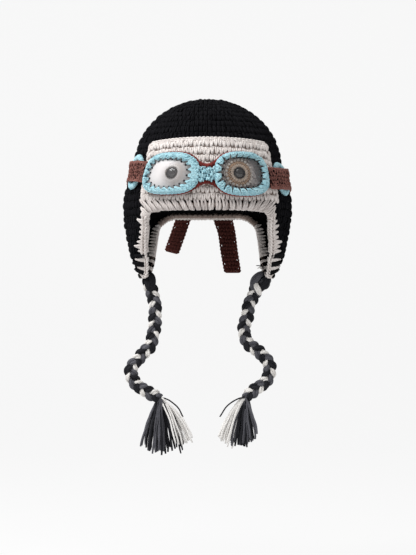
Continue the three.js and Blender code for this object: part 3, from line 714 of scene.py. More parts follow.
def edge_chain(place_fn, start, stop, links, lane, radius, sides=6, rise=0.35, paint=0):
    """A crochet chain along an edge: each link is two strands that part and meet again as a leaf."""
    starts = np.linspace(start, stop, links + 1)[:-1]
    t = np.linspace(0, 1, 6)
    along = starts[:, None] + (stop - start) / links * (-0.12 + 1.24 * t)
    out = np.broadcast_to(rise * np.sin(math.pi * t) - 0.25, along.shape)
    parts = []
    for way in (-1, 1):
        aside = np.broadcast_to(way * lane * np.sin(math.pi * t) ** 0.8, along.shape)
        parts.append(strands(*place_fn(along, aside, out), radius, sides=sides, ends=0.55, paint=paint))
    return parts

# %% [markdown]
# ## Crown
# The crown is worked in rounds from the top. The dome's rounds grow by eight stitches at a time
# until they go all the way round, and then the columns run straight down, which is what makes the
# ribs. Stitches that the cream front panel hides are left out.

# %% Crown, outside and inside
ROUND_HEIGHT = 9.0
STITCH_WIDTH = 5.7
MOST_COLUMNS = 104
RIM_DROP = 133.0
FRONT_DROP = 118.0
FRONT_EDGE = 48.0
OUTER_BASE = -1.75
INNER_BASE = -4.0
PANEL = {"top": 53.0, "side_top": 4.0, "bottom": 124.0, "left_top": 52.6, "left_bottom": 48.6,
         "right_top": 54.2, "right_bottom": 53.0, "corner": 8.0, "corner_share": 0.14}


def panel_half(drop, right):
    """Half the panel's width in degrees at a drop, on its left or its right."""
    share = (drop - PANEL["top"]) / (PANEL["bottom"] - PANEL["top"])
    left_half, right_half = (PANEL[f"{side}_top"] + (PANEL[f"{side}_bottom"] - PANEL[f"{side}_top"]) * share
                             for side in SIDES)
    return np.where(right, right_half, left_half)


def panel_top(across_share):
    """The panel's top edge: it falls as a square to the sides, and more over the rounded corners."""
    beyond = np.maximum(0, (np.abs(across_share) - 1 + PANEL["corner_share"]) / PANEL["corner_share"])
    return PANEL["top"] + PANEL["side_top"] * across_share**2 + PANEL["corner"] * beyond**2


rim_run = float(run_at(RIM_DROP))
outer_rows, inner_rows = [], []
for r in range(int(rim_run // ROUND_HEIGHT) + 1):
    top_run = rim_run - (r + 1) * ROUND_HEIGHT
    height = ROUND_HEIGHT + min(top_run, 0.0)
    top_run = max(top_run, 0.0)
    mid_drop = float(drop_at(top_run + 0.55 * height))
    round_length = float(arc_of(np.arange(360.0), mid_drop).sum())
    number = max(8, min(8 * round(round_length / STITCH_WIDTH / 8), MOST_COLUMNS))
    phi = (np.arange(number) + 0.5) * 360 / number - 180
    share = phi / panel_half(mid_drop, phi > 0)
    in_front = (mid_drop > FRONT_DROP) & (np.abs(phi) < FRONT_EDGE)
    hidden = in_front | (np.abs(share) < 0.93) & (mid_drop > panel_top(share) + 9)
    outer_rows.append((phi[~hidden], top_run, 360 / number, height))
    inner_rows.append((phi[~in_front], top_run, 360 / number, height))
crown_parts = fabric(outer_rows, OUTER_BASE, POST, scatter=0.055, lift=0.33)
lining_parts = fabric(inner_rows, INNER_BASE, POST[:2], size=0.8)
print("crown stitches outside", sum(len(row[0]) for row in outer_rows))
crown_drops = drop_at(np.linspace(0, rim_run, 44))[:, None]
crown_shell = shell_between(lambda offset: poled(lay(np.arange(-180, 180, 4.0), crown_drops, offset)[0]),
                            OUTER_BASE - 1.2, INNER_BASE + 0.2, wrap=True)
make_piece("crown_stitches", crown_parts + [crown_shell], [BLACK], "crown")
make_piece("crown_inside_stitches", lining_parts, [BLACK])

# %% [markdown]
# ## Rim edging
# One cream strip binds the whole rim: level over the brow, down and round both earflaps and level
# again behind. Over the flaps its stitches are long loops that bite into the black fabric, two or
# three strands to a hole, so from the side they read as teeth. Over the brow they are coarse
# slanted posts that end in a scalloped edge. Each loop is a strand that starts at a hole outside,
# runs to the free edge, turns under it and comes back to the hole inside.

# %% The strip's table, from the brow round one flap to the back
# Columns: free edge's angle and drop, sewn edge's angle and drop, height above the skin.
EDGING = np.array([
    [0, 136, 0, 124.5, 3], [30, 136.4, 34, 124.5, 3], [38, 137.7, 43.5, 124.5, 3],
    [41.6, 139, 49.5, 124.5, 2.5], [43.9, 143, 50.6, 136.3, 1.5], [44.3, 147, 50.9, 141.5, 1],
    [44.6, 151, 51.3, 147, 1], [44.9, 155.5, 51.7, 152.5, 1], [45.5, 160.5, 52.6, 158.5, 1],
    [47.0, 169.8, 55.3, 169, 1], [48.9, 183, 58.6, 182.5, 1], [50.4, 192.5, 61.8, 192, 1],
    [53.0, 200, 65.5, 199, 1], [58, 207, 71.5, 204.5, 1], [66, 213, 79, 208.4, 1],
    [78, 213.5, 85.5, 209.3, 1], [90, 213.6, 91, 209.5, 1], [102, 213.5, 96.5, 209.3, 1],
    [115, 213, 103, 208.4, 1], [126, 207, 112, 204.5, 1], [132, 200, 120, 198.5, 1],
    [135.4, 192, 125.5, 191, 1], [137.9, 182.6, 128.8, 182, 1], [140, 169.6, 131.9, 169, 1],
    [141.9, 158.5, 134.3, 157, 1], [143.3, 153, 137, 150, 1], [146, 148, 141, 143, 1],
    [151, 142.5, 146, 137, 1], [156, 140, 151, 133.3, 1], [180, 140, 180, 133.3, 1]])
edge_points = skin(EDGING[:, 0], EDGING[:, 1])
edge_run = running(np.linalg.norm(np.diff(edge_points, axis=0), axis=1))
BROW_END = float(edge_run[3])
print("half of the rim, mm", round(float(edge_run[-1]), 1))


def on_edging(along, share, offset):
    """A place on the strip: along its free edge, from the sewn edge (0) to the free edge (1)."""
    beyond = np.abs(along) > edge_run[-1]
    inside = np.where(beyond, 2 * edge_run[-1] - np.abs(along), np.abs(along))
    mirror = np.where(along < 0, -1.0, 1.0) * np.where(beyond, -1.0, 1.0)
    out_phi, out_drop, in_phi, in_drop = (np.interp(inside, edge_run, EDGING[:, k]) for k in range(4))
    # The strip's upright part over the cheek stands a little further back on the right.
    upright = np.clip((inside - edge_run[3]) / 8, 0, 1) * np.clip((edge_run[14] - inside) / 12, 0, 1)
    out_phi = out_phi + 1.7 * upright * (mirror > 0)
    in_phi = in_phi + 1.3 * upright * (mirror > 0)
    return lay(mirror * (in_phi + share * (out_phi - in_phi)), in_drop + share * (out_drop - in_drop), offset)


def strip_height(along):
    """How far the strip stands above the skin there."""
    return np.interp(np.abs(along), edge_run, EDGING[:, 4])


def near_tip(along):
    """One round the flap's tip, and nothing a little further up."""
    at = np.abs(along)
    return np.clip((at - edge_run[10] - 3) / 8, 0, 1) * np.clip((edge_run[21] - at) / 9, 0, 1)

# %% Loops over the flaps' edges and the rear
# A loop's course: its share of the way from hole to free edge, its rise, and its strands' radius.
# The first six places are outside, the seventh is under the free edge, and the others are inside.
LOOP_SHARE = np.array([0.0, 0.14, 0.34, 0.56, 0.76, 0.90, 0.95, 0.86, 0.72, 0.50, 0.26, 0.04])
LOOP_RISE = np.array([-2.3, -0.1, 0.35, 0.45, 0.10, -1.1, 0.0, -4.0, -5.1, -5.3, -5.2, -4.6])
LOOP_WIDTH = np.array([0.7, 0.85, 1.05, 1.25, 1.3, 1.2, 1.15, 1.15, 1.15, 1.05, 0.9, 0.75])
LOOP_LANES = (-1 / 3, 0.0, 1 / 3)
LOOP_PITCH = 6.1


def edging_loops(half_side, bars=False):
    """All toothed loops along one half of the rim, from the brow's end to the middle behind."""
    length = edge_run[-1] - BROW_END
    number = int(round(length / LOOP_PITCH))
    pitch = length / number
    middle = BROW_END + (np.arange(number) + 0.5) * pitch
    # Round the tip every second loop is a broad black bar between two teeth.
    is_bar = (near_tip(middle) > 0.02) & (np.arange(number) % 2 == 1)
    middle = middle[is_bar == bars][:, None]
    number = len(middle)
    hole = (-0.45 if half_side < 0 else -0.62) + shake(0.17, number)
    # The teeth grow longer down the cheek and are short round the very tip.
    growth = np.interp(middle, edge_run[[9, 11, 13, 14, 18, 20]], [1, 1.9, 1.7, 0.1, 0.1, 1.0])
    hole = np.where(middle < edge_run[5], 0.0, hole) * growth
    hole = np.where(middle > edge_run[27], -0.25, hole)
    # Behind, the inside legs are short and of the darker cream: painted shade, for the inside of the rim lies
    # in shade.
    shortest = np.interp(middle, edge_run[[15, 17, 24, 25, 26]], [-1.0, -0.1, -0.1, 0.2, 0.5])
    back = middle[:, 0] > edge_run[25]
    is_inside = np.arange(12) > 6
    reach = np.where(is_inside, 0.84, 0.56 + 0.14 * near_tip(middle))
    gather = 1 - np.where(is_inside, 0.9, 0.92) * np.clip(1 - LOOP_SHARE / reach, 0, 1) ** 0.55
    width = LOOP_WIDTH * (1.15 if bars else 1.0)
    parts = []
    for lane in LOOP_LANES:
        own_hole = hole + shake(0.05, number)
        share = own_hole + (1 - own_hole) * LOOP_SHARE
        share = np.where(is_inside, np.maximum(share, shortest + shake(0.09, number)), share)
        along = middle + lane * pitch * gather + shake(0.2, number)
        high = strip_height(along)
        offset = np.where(np.arange(12) < 6, high + LOOP_RISE, LOOP_RISE)
        offset[:, 6] = (high[:, 6] - WALL) / 2
        offset = offset + shake(0.12, number) + (0.9 * (offset > -1) if bars else 0.0)
        points = on_edging(along * half_side, share, offset)[0]
        ups = unit(on_edging((along + 0.5) * half_side, share, offset)[0] - points)
        for rows, course, paint in ((~back, slice(0, 8 if bars else 12), 2 if bars else 0),
                                    (back, slice(0, 7), 0), (back, slice(5, 12), 1)):
            if rows.any():
                parts.append(strands(points[rows][:, course], ups[rows][:, course], width[course],
                                     ends=0.55, paint=paint))
    return parts

# %% Posts over the brow
BROW_PITCH = 7.6
POST_WIDTH = 0.9 * np.array([1.2, 1.35, 1.6, 1.9, 2.1, 2.15, 2.1, 1.9, 1.6, 1.4, 1.2])
POST_SHARE = np.array([-0.12, 0.06, 0.28, 0.52, 0.74, 0.88, 0.90, 0.76, 0.52, 0.26, 0.05])
POST_RISE = np.array([-0.9, 0.5, 0.75, 0.65, 0.35, -0.9, -3.4, -5.0, -5.2, -5.2, -4.8])


def brow_posts(half_side):
    """Pairs of fat strands that lean outwards at the top and meet in a rounded point below."""
    number = int(round(BROW_END / BROW_PITCH))
    pitch = BROW_END / number
    middle = ((np.arange(number) + 0.5) * pitch)[:, None]
    # All posts lean the same way in the picture, so on the right they stand nearly upright.
    lean = 1.2 + 2.2 * np.clip(middle / 45, 0, 1)
    if half_side > 0:
        lean = lean - 7.5 * np.sin(math.pi * np.clip(middle / 62, 0, 1))
    closing = 0.20 * pitch * (1 - 0.25 * np.clip((POST_SHARE - 0.5) / 0.4, 0, 1))
    parts = []
    for lane in (-1, 1):
        along = middle + lane * closing + (0.5 - POST_SHARE) * lean + shake(0.2, number)
        rise = POST_RISE + shake(0.15, number)
        offset = np.where(np.arange(11) < 6, strip_height(along) + rise, rise)
        share = POST_SHARE + shake(0.02, number)
        # The posts are of the darker brow cream: painted shade.
        parts.append(turned_strands(lambda at: on_edging(at * half_side, share, offset), along,
                                    width=POST_WIDTH, sides=7, ends=0.6, paint=3))
    return parts

# %% The strip's body and its braid
BRAID_LINKS = 66
# Columns: share from the sewn edge to the free edge, the kind of offset, and the rise. Kind 0 is
# outside and rides on the strip's height, kind 1 is half way through it, and kind 2 is inside.
BAND_PROFILE = [(0.0, 0, -1.1), (0.45, 0, -0.9), (0.85, 0, -1.2), (1.0, 1, 0), (0.90, 2, -4.2),
                (0.76, 2, -4.5), (0.62, 2, -4.2), (0.50, 1, 0)]


def edging_body():
    """The strip's smooth body under its stitches, once round the whole rim, in the darker cream: painted
    shade between the stitches.
    """
    along = np.linspace(-edge_run[-1], edge_run[-1], 241)[:-1]
    rear = np.clip((np.abs(along) - edge_run[25]) / 10, 0, 1)
    start = (0.34 + 0.26 * near_tip(along)) * (1 - rear) - 0.3 * rear
    stop = 0.84 - 0.10 * np.clip((BROW_END + 2 - np.abs(along)) / 4, 0, 1)
    high = strip_height(along)
    rows = []
    for share, kind, rise in BAND_PROFILE:
        offset = (high + rise, (high - WALL) / 2, rise)[kind]
        rows.append(on_edging(along, start + (stop - start) * share, offset)[0])
    return hoop(rows, paint=1)


def braid(half_side):
    """The last row along the strip: pairs of slanted legs that point down in a vee, a dot of painted shade
    between.
    """
    begin = BROW_END + 6
    pitch = float(edge_run[-1] - begin) / BRAID_LINKS
    starts = begin + pitch * np.arange(BRAID_LINKS)[:, None]
    t = np.linspace(0, 1, 6)
    along = starts + pitch * (-0.15 + 1.45 * t)
    at_tip = near_tip(along)
    offset = strip_height(along) - 0.05 + 1.5 * np.sin(math.pi * t) * (1 - 0.6 * at_tip)
    parts = []
    for way, pull in ((-1, 0.8), (1, 0.2)):
        aside = (way * (3.5 - 2.55 * t) + shake(0.12, BRAID_LINKS)) * (1 - pull * at_tip)
        parts.append(strands(*on_edging(along * half_side, 0.66 + 0.10 * at_tip + aside / 11, offset), 1.3))
    dot_at = starts + pitch * np.array([0.62, 0.78, 0.94])
    dots = on_edging(dot_at * half_side, 0.66 + 0.1 * near_tip(dot_at), strip_height(dot_at) + 1.1)
    return parts + [strands(*dots, 0.85, ends=0.7, paint=1)]


edging_parts = edging_loops(1.0) + edging_loops(-1.0) + brow_posts(1.0) + brow_posts(-1.0)
edging_parts += edging_loops(1.0, bars=True) + edging_loops(-1.0, bars=True) + braid(-1.0) + braid(1.0)
make_piece("rim_edging_loops", edging_parts + [edging_body()], [CREAM, CREAM_PAINTED_SHADE, BLACK, CREAM_BROW_SHADED],
           "rim_edging")

# %% [markdown]
# ## Earflaps
# Each earflap hangs from the crown's side and cups towards the cheek. It is worked in shorter and
# shorter rows, so every row gets as many stitches as fit between the two sewn edges. The fabric
# runs on a little under the edging, because the black shows between the edging's teeth.

# %% Earflaps
FLAP_TOP = 131.0


def lapped(part):
    """The line where the black fabric ends under a part of the edging, as drops and angles."""
    rows = EDGING[part]
    underlap = 0.30 + 0.42 * near_tip(edge_run[part])
    return (rows[:, 3] + underlap * (rows[:, 1] - rows[:, 3]),
            rows[:, 2] + underlap * (rows[:, 0] - rows[:, 2]))


front_line = lapped(slice(4, 17))
rear_line = lapped(slice(28, 15, -1))
FLAP_BOTTOM = float(min(front_line[0][-1], rear_line[0][-1])) - 0.5
bottom_run = float(run_at(FLAP_BOTTOM))


def flap_sides(drop):
    """The flap's front and rear angles at a drop."""
    return np.interp(drop, *front_line), np.interp(drop, *rear_line)


for side_name, sign in (("left", -1.0), ("right", 1.0)):
    top_run = rim_run
    rows = []
    while top_run < bottom_run - 3:
        height = min(ROUND_HEIGHT, bottom_run - top_run)
        mid = float(drop_at(top_run + height / 2))
        fine = np.linspace(*flap_sides(mid), 120)
        arc = running(arc_of(0.5 * (fine[1:] + fine[:-1]), mid) * np.diff(fine))
        number = max(2, int(round(arc[-1] / STITCH_WIDTH)))
        borders = np.interp(np.linspace(0, arc[-1], number + 1), arc, fine)
        rows.append((sign * 0.5 * (borders[1:] + borders[:-1]), top_run, np.diff(borders), height))
        top_run += height
    flap_parts = fabric(rows, OUTER_BASE, POST, scatter=0.07, lift=0.52)
    flap_parts += fabric(rows, INNER_BASE, POST[:2], size=0.8)
    drops = np.linspace(FLAP_TOP, FLAP_BOTTOM, 24)[:, None]
    starts, stops = flap_sides(drops)
    angles = sign * (starts + (stops - starts) * np.linspace(0, 1, 25))
    flap_parts.append(shell_between(lambda offset: lay(angles, drops, offset)[0],
                                    OUTER_BASE - 1.0, INNER_BASE + 0.2))
    make_piece(f"ear_flap_{side_name}_stitches", flap_parts, [BLACK], f"ear_flap_{side_name}")

# %% [markdown]
# ## Front panel
# The cream panel is a second layer of short dense stitches, sewn over the brow. Its columns of
# small vees rise to a scalloped chain along the top edge.

# %% Front panel
PANEL_COLUMNS = 33
PANEL_ROWS = 8
PANEL_FALL = 71.0


def on_panel(across_share, down_share, offset):
    """A place on the panel: -1 to 1 across, 0 to 1 from its top edge down to its bottom edge."""
    edge = panel_top(np.clip(across_share, -1, 1))
    drop = edge + (PANEL["bottom"] + 1.5 - edge) * down_share
    half = panel_half(np.minimum(drop, PANEL["bottom"]), across_share > 0)
    return lay(across_share * half, drop, offset)


columns, rows = lattice(PANEL_COLUMNS, PANEL_ROWS)


def panel_places(side, down, out):
    """Panel stitches: a column is two units of the width divided by the columns."""
    wave = 0.10 * np.sin(columns * 1.9 + rows * 2.3)
    across = 0.955 * (2 * (columns + side + 0.22 * (rows % 2) - 0.11) / PANEL_COLUMNS - 1)
    return on_panel(across, 0.035 + 0.965 * (rows + down + wave) / PANEL_ROWS, 2.5 + out)


def panel_edge(along, aside, out):
    """The panel's top edge, from the left side over the corners to the right side."""
    return on_panel(along, (aside + 2.4) / PANEL_FALL, 2.4 + out)


panel_parts = stitch_field(VEE, panel_places, len(rows), sides=6)
panel_parts += edge_chain(panel_edge, -0.97, 0.97, 33, 1.15, 1.3, rise=0.6)
for sign in (-1, 1):
    def panel_flank(along, aside, out):
        """One upright side of the panel."""
        return on_panel(sign * (1 - (1.6 + aside) / 92), along, 1.9 + out)
    panel_parts += edge_chain(panel_flank, 0.07, 1.02, 11, 1.0, 1.25)
across, down = np.linspace(-0.965, 0.965, 60), np.linspace(0.03, 1.0, 26)[:, None]
# The shell under the panel's stitches is of the darker cream: painted shade between the stitches.
panel_parts.append(shell_between(lambda offset: on_panel(across, down, offset)[0], 1.7, 0.3, paint=1))
make_piece("front_panel_stitches", panel_parts, [CREAM, CREAM_PAINTED_SHADE], "front_panel")

# %% [markdown]
# ## Goggles
# The goggles lie over the panel: a rust backing that shows as a thin line, two sky blue frames
# whose stitches fan from the holes round each lens, a bridge, and a curved clear sheet as each
# lens. All of it is measured in millimetres to the right of and above the goggles' middle.

# %% Places and loops on the goggles
GOGGLES_PHI = -1.2
GOGGLES_DROP = 96.4
GOGGLES_RADIUS = 106.0
SQUARENESS = 2.7
# Middle across and up, half width and half height, of each opening and of each frame's last strand.
OPENINGS = {"left": (-47.0, 1.3, 26.4, 15.9), "right": (45.3, 1.8, 26.9, 18.0)}
OUTLINES = {"left": (-44.3, 1.0, 36.8, 23.2), "right": (45.2, 0.5, 34.9, 24.3)}
HOLES = {"left": 21, "right": 20}


def on_goggles(u, w, offset):
    """A place on the goggles from millimetres to the right and up, and an offset from the skin."""
    return lay(GOGGLES_PHI + np.degrees(u / GOGGLES_RADIUS), GOGGLES_DROP - w, offset)


def drawn_out(value, power):
    """A value whose size is raised to a power and whose sign stays."""
    return np.sign(value) * np.abs(value) ** power


def squared(angle, half, height):
    """A rounded rectangle: cosine and sine, each drawn out by a power under one."""
    power = 2 / SQUARENESS
    return half * drawn_out(np.cos(angle), power), height * drawn_out(np.sin(angle), power)


def even_loop(loop, shares):
    """Points of a rounded rectangle at equal shares of its length, from its right side upwards."""
    u, w = squared(np.linspace(0, 2 * math.pi, 721), loop[2], loop[3])
    travelled = running(np.hypot(np.diff(u), np.diff(w)))
    at = (shares % 1.0) * travelled[-1]
    return np.array([loop[0] + np.interp(at, travelled, u), loop[1] + np.interp(at, travelled, w)])


def frame_place(side_name, shares, reach, offset):
    """A place on a frame: a share of the way round, and a reach from the opening (0) to outside (1)."""
    inner = even_loop(OPENINGS[side_name], shares)
    return on_goggles(*(inner + (even_loop(OUTLINES[side_name], shares) - inner) * reach), offset)

# %% Backing
shares = np.linspace(0, 1, 97)[:-1]


def frame_hoop(side_name, profile, paint=0):
    """A closed tube round a frame, through a profile of reaches and offsets."""
    return hoop([frame_place(side_name, shares, reach, offset)[0] for reach, offset in profile], paint)


def plate_w(u, share):
    """The height on the plate between the frames: its edges curve away from the middle."""
    return share * (11.2 + 2.4 * ((u - 1) / 8) ** 2) + 0.6


def on_plate(across, down, out):
    """A place on the plate, from its left edge and from its top."""
    u = -11 + 24 * across
    return on_goggles(u, plate_w(u, 1 - 2 * down), 7.2 + out)


rust_parts = []
for side_name in SIDES:
    rust_parts.append(frame_hoop(side_name, (
        (0.50, 6.6), (0.80, 6.9), (1.02, 6.7), (1.08, 6.0), (1.02, 5.4), (0.50, 5.4))))
    points, normals = frame_place(side_name, shares, 1.07 + 0.05 * np.sin(2 * math.pi * shares), 6.6)
    rust_parts.append(strands(points[None], normals[None], 1.15, closed=True))
plate_u, plate_share = np.linspace(-12, 13, 15), np.linspace(1, -1, 9)[:, None]
rust_parts.append(shell_between(
    lambda offset: on_goggles(plate_u, plate_w(plate_u, plate_share), offset)[0], 6.9, 5.4))
rust_parts += knit(on_plate, 6, 5, sides=6, size=0.9)
make_piece("goggle_backing_stitches", rust_parts, [RUST], "goggle_backing")

# %% Frames
FRAME_STRANDS = 6
FRAME_REACH = np.array([-0.02, 0.10, 0.26, 0.42, 0.58, 0.72, 0.84, 0.86])
FRAME_RISE = np.array([8.7, 10.2, 11.2, 11.7, 11.8, 11.4, 10.4, 9.0])
FRAME_WIDTH = np.array([0.60, 0.68, 0.78, 0.86, 0.94, 0.98, 0.95, 0.9])
FRAME_PROFILE = ((0.50, 9.0), (0.56, 10.0), (0.70, 10.2), (0.88, 9.6), (0.94, 9.0), (0.88, 8.4), (0.56, 8.4))
# How much of its own width a leg takes at each reach: the left one's legs taper more.
LEG_SPREAD = {"left": np.array([0.18, 0.28, 0.50, 0.76, 0.92, 0.97, 1.0, 1.0]),
              "right": np.array([0.64, 0.67, 0.72, 0.79, 0.88, 0.95, 1.0, 1.0])}


def outer_edge(along, aside, out):
    """The outer rim of a frame, as a share of the way round."""
    return frame_place(side_name, along, 0.905 + aside * 0.085, 10.3 + out)


def inner_side(across, down, out):
    """A place on the wide inner side of the left frame."""
    return frame_place("left", -0.135 + 0.27 * across, 0.30 + 0.66 * down, 11.5 + out)


for side_name in SIDES:
    holes = HOLES[side_name]
    hole_shares = (np.arange(holes)[:, None] + 0.5) / holes
    lean = -0.55 * np.sin(2 * math.pi * hole_shares) * FRAME_REACH
    blue_parts = []
    for k in range(FRAME_STRANDS):
        lane = (k - (FRAME_STRANDS - 1) / 2) / FRAME_STRANDS
        around = hole_shares + (lane * LEG_SPREAD[side_name] + lean) / holes + shake(0.0010, holes)
        reaches = FRAME_REACH + shake(0.012, holes)
        rises = FRAME_RISE + shake(0.22, holes)
        blue_parts.append(turned_strands(lambda at: frame_place(side_name, at, reaches, rises), around,
                                         step=0.002, width=FRAME_WIDTH, ends=0.7))
    # A ring of the darker blue under the legs: painted shade between them.
    blue_parts.append(frame_hoop(side_name, FRAME_PROFILE, paint=1))
    blue_parts += edge_chain(outer_edge, 0.0, 1.0, 44, 0.95, 0.82)
    # A small curl of yarn lies over the middle of each leg, where the stitch turns back on itself.
    curl_share = hole_shares + (0.24 * np.cos(turns(12)) + shake(0.06, holes)) / holes
    curl_reach = 0.45 + 0.19 * np.sin(turns(12)) + shake(0.05, holes)
    blue_parts.append(strands(*frame_place(side_name, curl_share, curl_reach, 12.5), 0.66, closed=True))
    if side_name == "left":
        blue_parts += knit(inner_side, 14, 3, size=0.78, scatter=0.09, lift=0.35)
    make_piece(f"goggle_frame_{side_name}_stitches", blue_parts, [BLUE, BLUE_PAINTED_SHADE],
               f"goggle_frame_{side_name}")

# %% Bridge
def on_bridge(across, down, out):
    """A place on the bridge, which is pinched in the middle: its half height grows as a square."""
    u = -8.2 + 18.4 * across
    half = 7.2 + 1.8 * ((u - 1) / 9) ** 2
    return on_goggles(u, -0.3 + half * (1 - 2 * down), 11.0 + out)


bridge_parts = knit(on_bridge, 4, 4, sides=6, size=0.8, scatter=0.16, lift=0.6)
bridge_u, bridge_w = np.linspace(-8, 9.5, 9), np.linspace(6.2, -6.8, 7)[:, None]
# The bridge's shell is of the darker blue: painted shade between its stitches.
bridge_parts.append(shell_between(lambda offset: on_goggles(bridge_u, bridge_w, offset)[0],
                                  9.7, 8.8, paint=1))
make_piece("goggle_bridge_stitches", bridge_parts, [BLUE, BLUE_PAINTED_SHADE], "goggle_bridge")

# %% [markdown]
# ## Lenses
# Each lens is a thin clear plastic sheet, bowed outwards, with a row of punched holes that the
# frame is crocheted through. Clear plastic lets most light through and mirrors a little of the
# studio, more at a slant. The left sheet carries a painted reflection of the softbox, a white that
# grows towards the temple; the right one has painted shade that dims it towards its rim, and a
# little painted light at its right side. Two attributes say how much of each a place has.

# %% Lens material
clear, clear_tree, clear_out = tree_of("clear_plastic")


def blend(share, first, second):
    """Two shaders mixed by a share."""
    return feed(clear_tree, add_node(clear_tree, "ShaderNodeMixShader"), share, first, second)


def source(kind, values=(), **settings):
    """The first output of a new node in the sheet's tree."""
    return add_node(clear_tree, kind, values, **settings).outputs[0]


lens_shading, painted_reflection = (add_node(clear_tree, "ShaderNodeAttribute", attribute_name=name).outputs["Fac"]
               for name in ("lens_shading", "painted_reflection"))
see_through = source("ShaderNodeBsdfTransparent", {"Color": (0.985, 0.985, 0.985, 1)})
# A darker see-through colour: painted shade over what lies under the right sheet.
shaded_see_through = source("ShaderNodeBsdfTransparent", {"Color": (0.66, 0.63, 0.635, 1)})
# A white that is a painted reflection of the softbox on the left sheet, and painted light on the right sheet.
reflection_white = source("ShaderNodeBsdfPrincipled", {
    "Base Color": (0.92, 0.885, 0.885, 1), "Roughness": 0.6, "Specular IOR Level": 0.2})
mirror = source("ShaderNodeBsdfGlossy", {"Color": (0.30, 0.30, 0.31, 1), "Roughness": 0.22})
sheet_look = blend(painted_reflection, blend(lens_shading, see_through, shaded_see_through), reflection_white)
feed(clear_tree, clear_out, blend(source("ShaderNodeFresnel", {"IOR": 1.35}), sheet_look, mirror))
# A near-black for the punched holes: painted shade inside them.
dark = plain_material("hole_painted_shade", {
    "Base Color": (0.012, 0.008, 0.012, 1), "Roughness": 0.9, "Specular IOR Level": 0.1})

# %% Lenses and their holes
LENS_RISE = 5.4
LENS_LOW = 7.6
LENS_FLAT = 0.84
LENS_TUCK = 5.0


def lens_uw(side_name, angle, reach):
    """The millimetres across and up of a place on a lens: a rounded rectangle shrunk by the reach."""
    loop = OPENINGS[side_name]
    u, w = squared(angle, (loop[2] + LENS_TUCK) * reach, (loop[3] + LENS_TUCK) * reach)
    return loop[0] + u, loop[1] + w


def lens_grid(lift):
    """Points over a lens, which bows out by one minus the square of the reach."""
    bow = LENS_RISE * np.maximum(0, 1 - (lens_reach / LENS_FLAT) ** 2)
    return poled(on_goggles(*lens_uw(side_name, lens_angle, lens_reach), LENS_LOW + bow + lift)[0])


def reflection_on_lens(side_name, u, w):
    """How much painted reflection a place has: most at the left temple, less beside the nose, least over the
    bead.
    """
    if side_name == "right":
        # On the right sheet, a little painted light towards its right side.
        return 0.02 + 0.09 * eased((u - 48) / 12)
    over_bead = eased((8.6 - np.hypot(u + 40.5, w - 1.2)) / 1.8)
    beside = 0.30 + 0.42 * eased((np.hypot(u + 27, w - 1.4) - 13) / 19)
    return 0.05 * over_bead + beside * (1 - over_bead)


def shading_on_lens(side_name, u, w):
    """How much painted shade a place has: the right lens darkens away from the eye, most above and to its
    right.
    """
    if side_name == "left":
        return 0 * u
    side_part = 0.10 + 0.12 * eased((u - 46) / 13) + 0.08 * eased(w / 14)
    return eased((np.hypot(u - 41.3, w - 1.4) - 15.5) / 5) * side_part


lens_angle = turns(72)
lens_reach = np.linspace(0, 1, 33)[:, None]
hole_parts = []
for side_name in SIDES:
    sheet = slab(lens_grid(0.35), lens_grid(-0.15), wrap=True)
    spots = np.stack(lens_uw(side_name, lens_angle, lens_reach), axis=-1)
    spots = np.concatenate([spots, spots[::-1]]).reshape(-1, 2)
    # Welding keeps one of each set of equal points, so the places are carried in the tint for a moment.
    carried = [welded(dict(sheet, tint=spots[:, column]))["tint"] for column in (0, 1)]
    lens = make_piece(f"lens_{side_name}_sheet", [outward(welded(sheet))], [clear],
                      f"lens_{side_name}")
    for label, rule in (("painted_reflection", reflection_on_lens), ("lens_shading", shading_on_lens)):
        layer = lens.data.attributes.new(label, "FLOAT", "POINT")
        layer.data.foreach_set("value", rule(side_name, *carried).astype(np.float32))
    at = (np.arange(HOLES[side_name]) + 0.5) / HOLES[side_name]
    start, out = frame_place(side_name, at, -0.15, 8.0)
    rings = start[:, None] + out[:, None] * np.array([0.0, 0.8, 1.6])[:, None]
    # Each hole is a short near-black tube: painted shade in the hole.
    hole_parts.append(strands(rings, [0.0, 0.0, 1.0], 1.05, sides=10, ends=0.95))
make_piece("lens_punch_holes", hole_parts, [dark])

# %% [markdown]
# ## Eyes
# Behind each lens sits a round eye: a black glass bead, a ring of cream, a ring of tan, and a ring
# of small cream bobbles. Rings of short strands, placed by angle and radius round the bead.

# %% Eye rings and beads
# The left eye's inner ring is of the pale cream and the right's of the sand: painted light that makes up for
# the shade under the left lens.
EYES = (("left", -24.2, 94.8, PALE), ("right", 21.1, 95.0, SAND))
BEAD_RADIUS = 6.6
DISC_ROWS = np.array([[0.0], [4.0], [8.0], [12.0], [14.4], [15.2]])
DISC_TOPS = np.array([[6.2], [6.2], [6.2], [6.1], [6.0], [5.8]])
bead_glass = plain_material("black_glass", {
    "Base Color": (0.010, 0.010, 0.012, 1), "Roughness": 0.12, "IOR": 1.75})


def near_eye(radius, angle, offset):
    """A place by radius and angle round the eye's middle."""
    return lay(phi + radius * np.cos(angle) / float(arc_of(phi, drop)), drop - radius * np.sin(angle), offset)


def eye_ring(count, inner, outer, height, width, turn=0.0, sides=6, paint=0):
    """A ring of short strands that point away from the bead, each turned a little from the last."""
    middle = 2 * math.pi * (np.arange(count)[:, None] + 0.5) / count
    t = np.linspace(0, 1, 5)
    swell = np.sin(math.pi * t)
    radius = inner + (outer - inner) * t + shake(0.12, count)
    points, normals = near_eye(radius, middle + turn * t, height + 0.5 * swell + shake(0.1, count))
    return strands(points, normals, width * (0.75 + 0.25 * swell), sides=sides, ends=0.7, paint=paint)


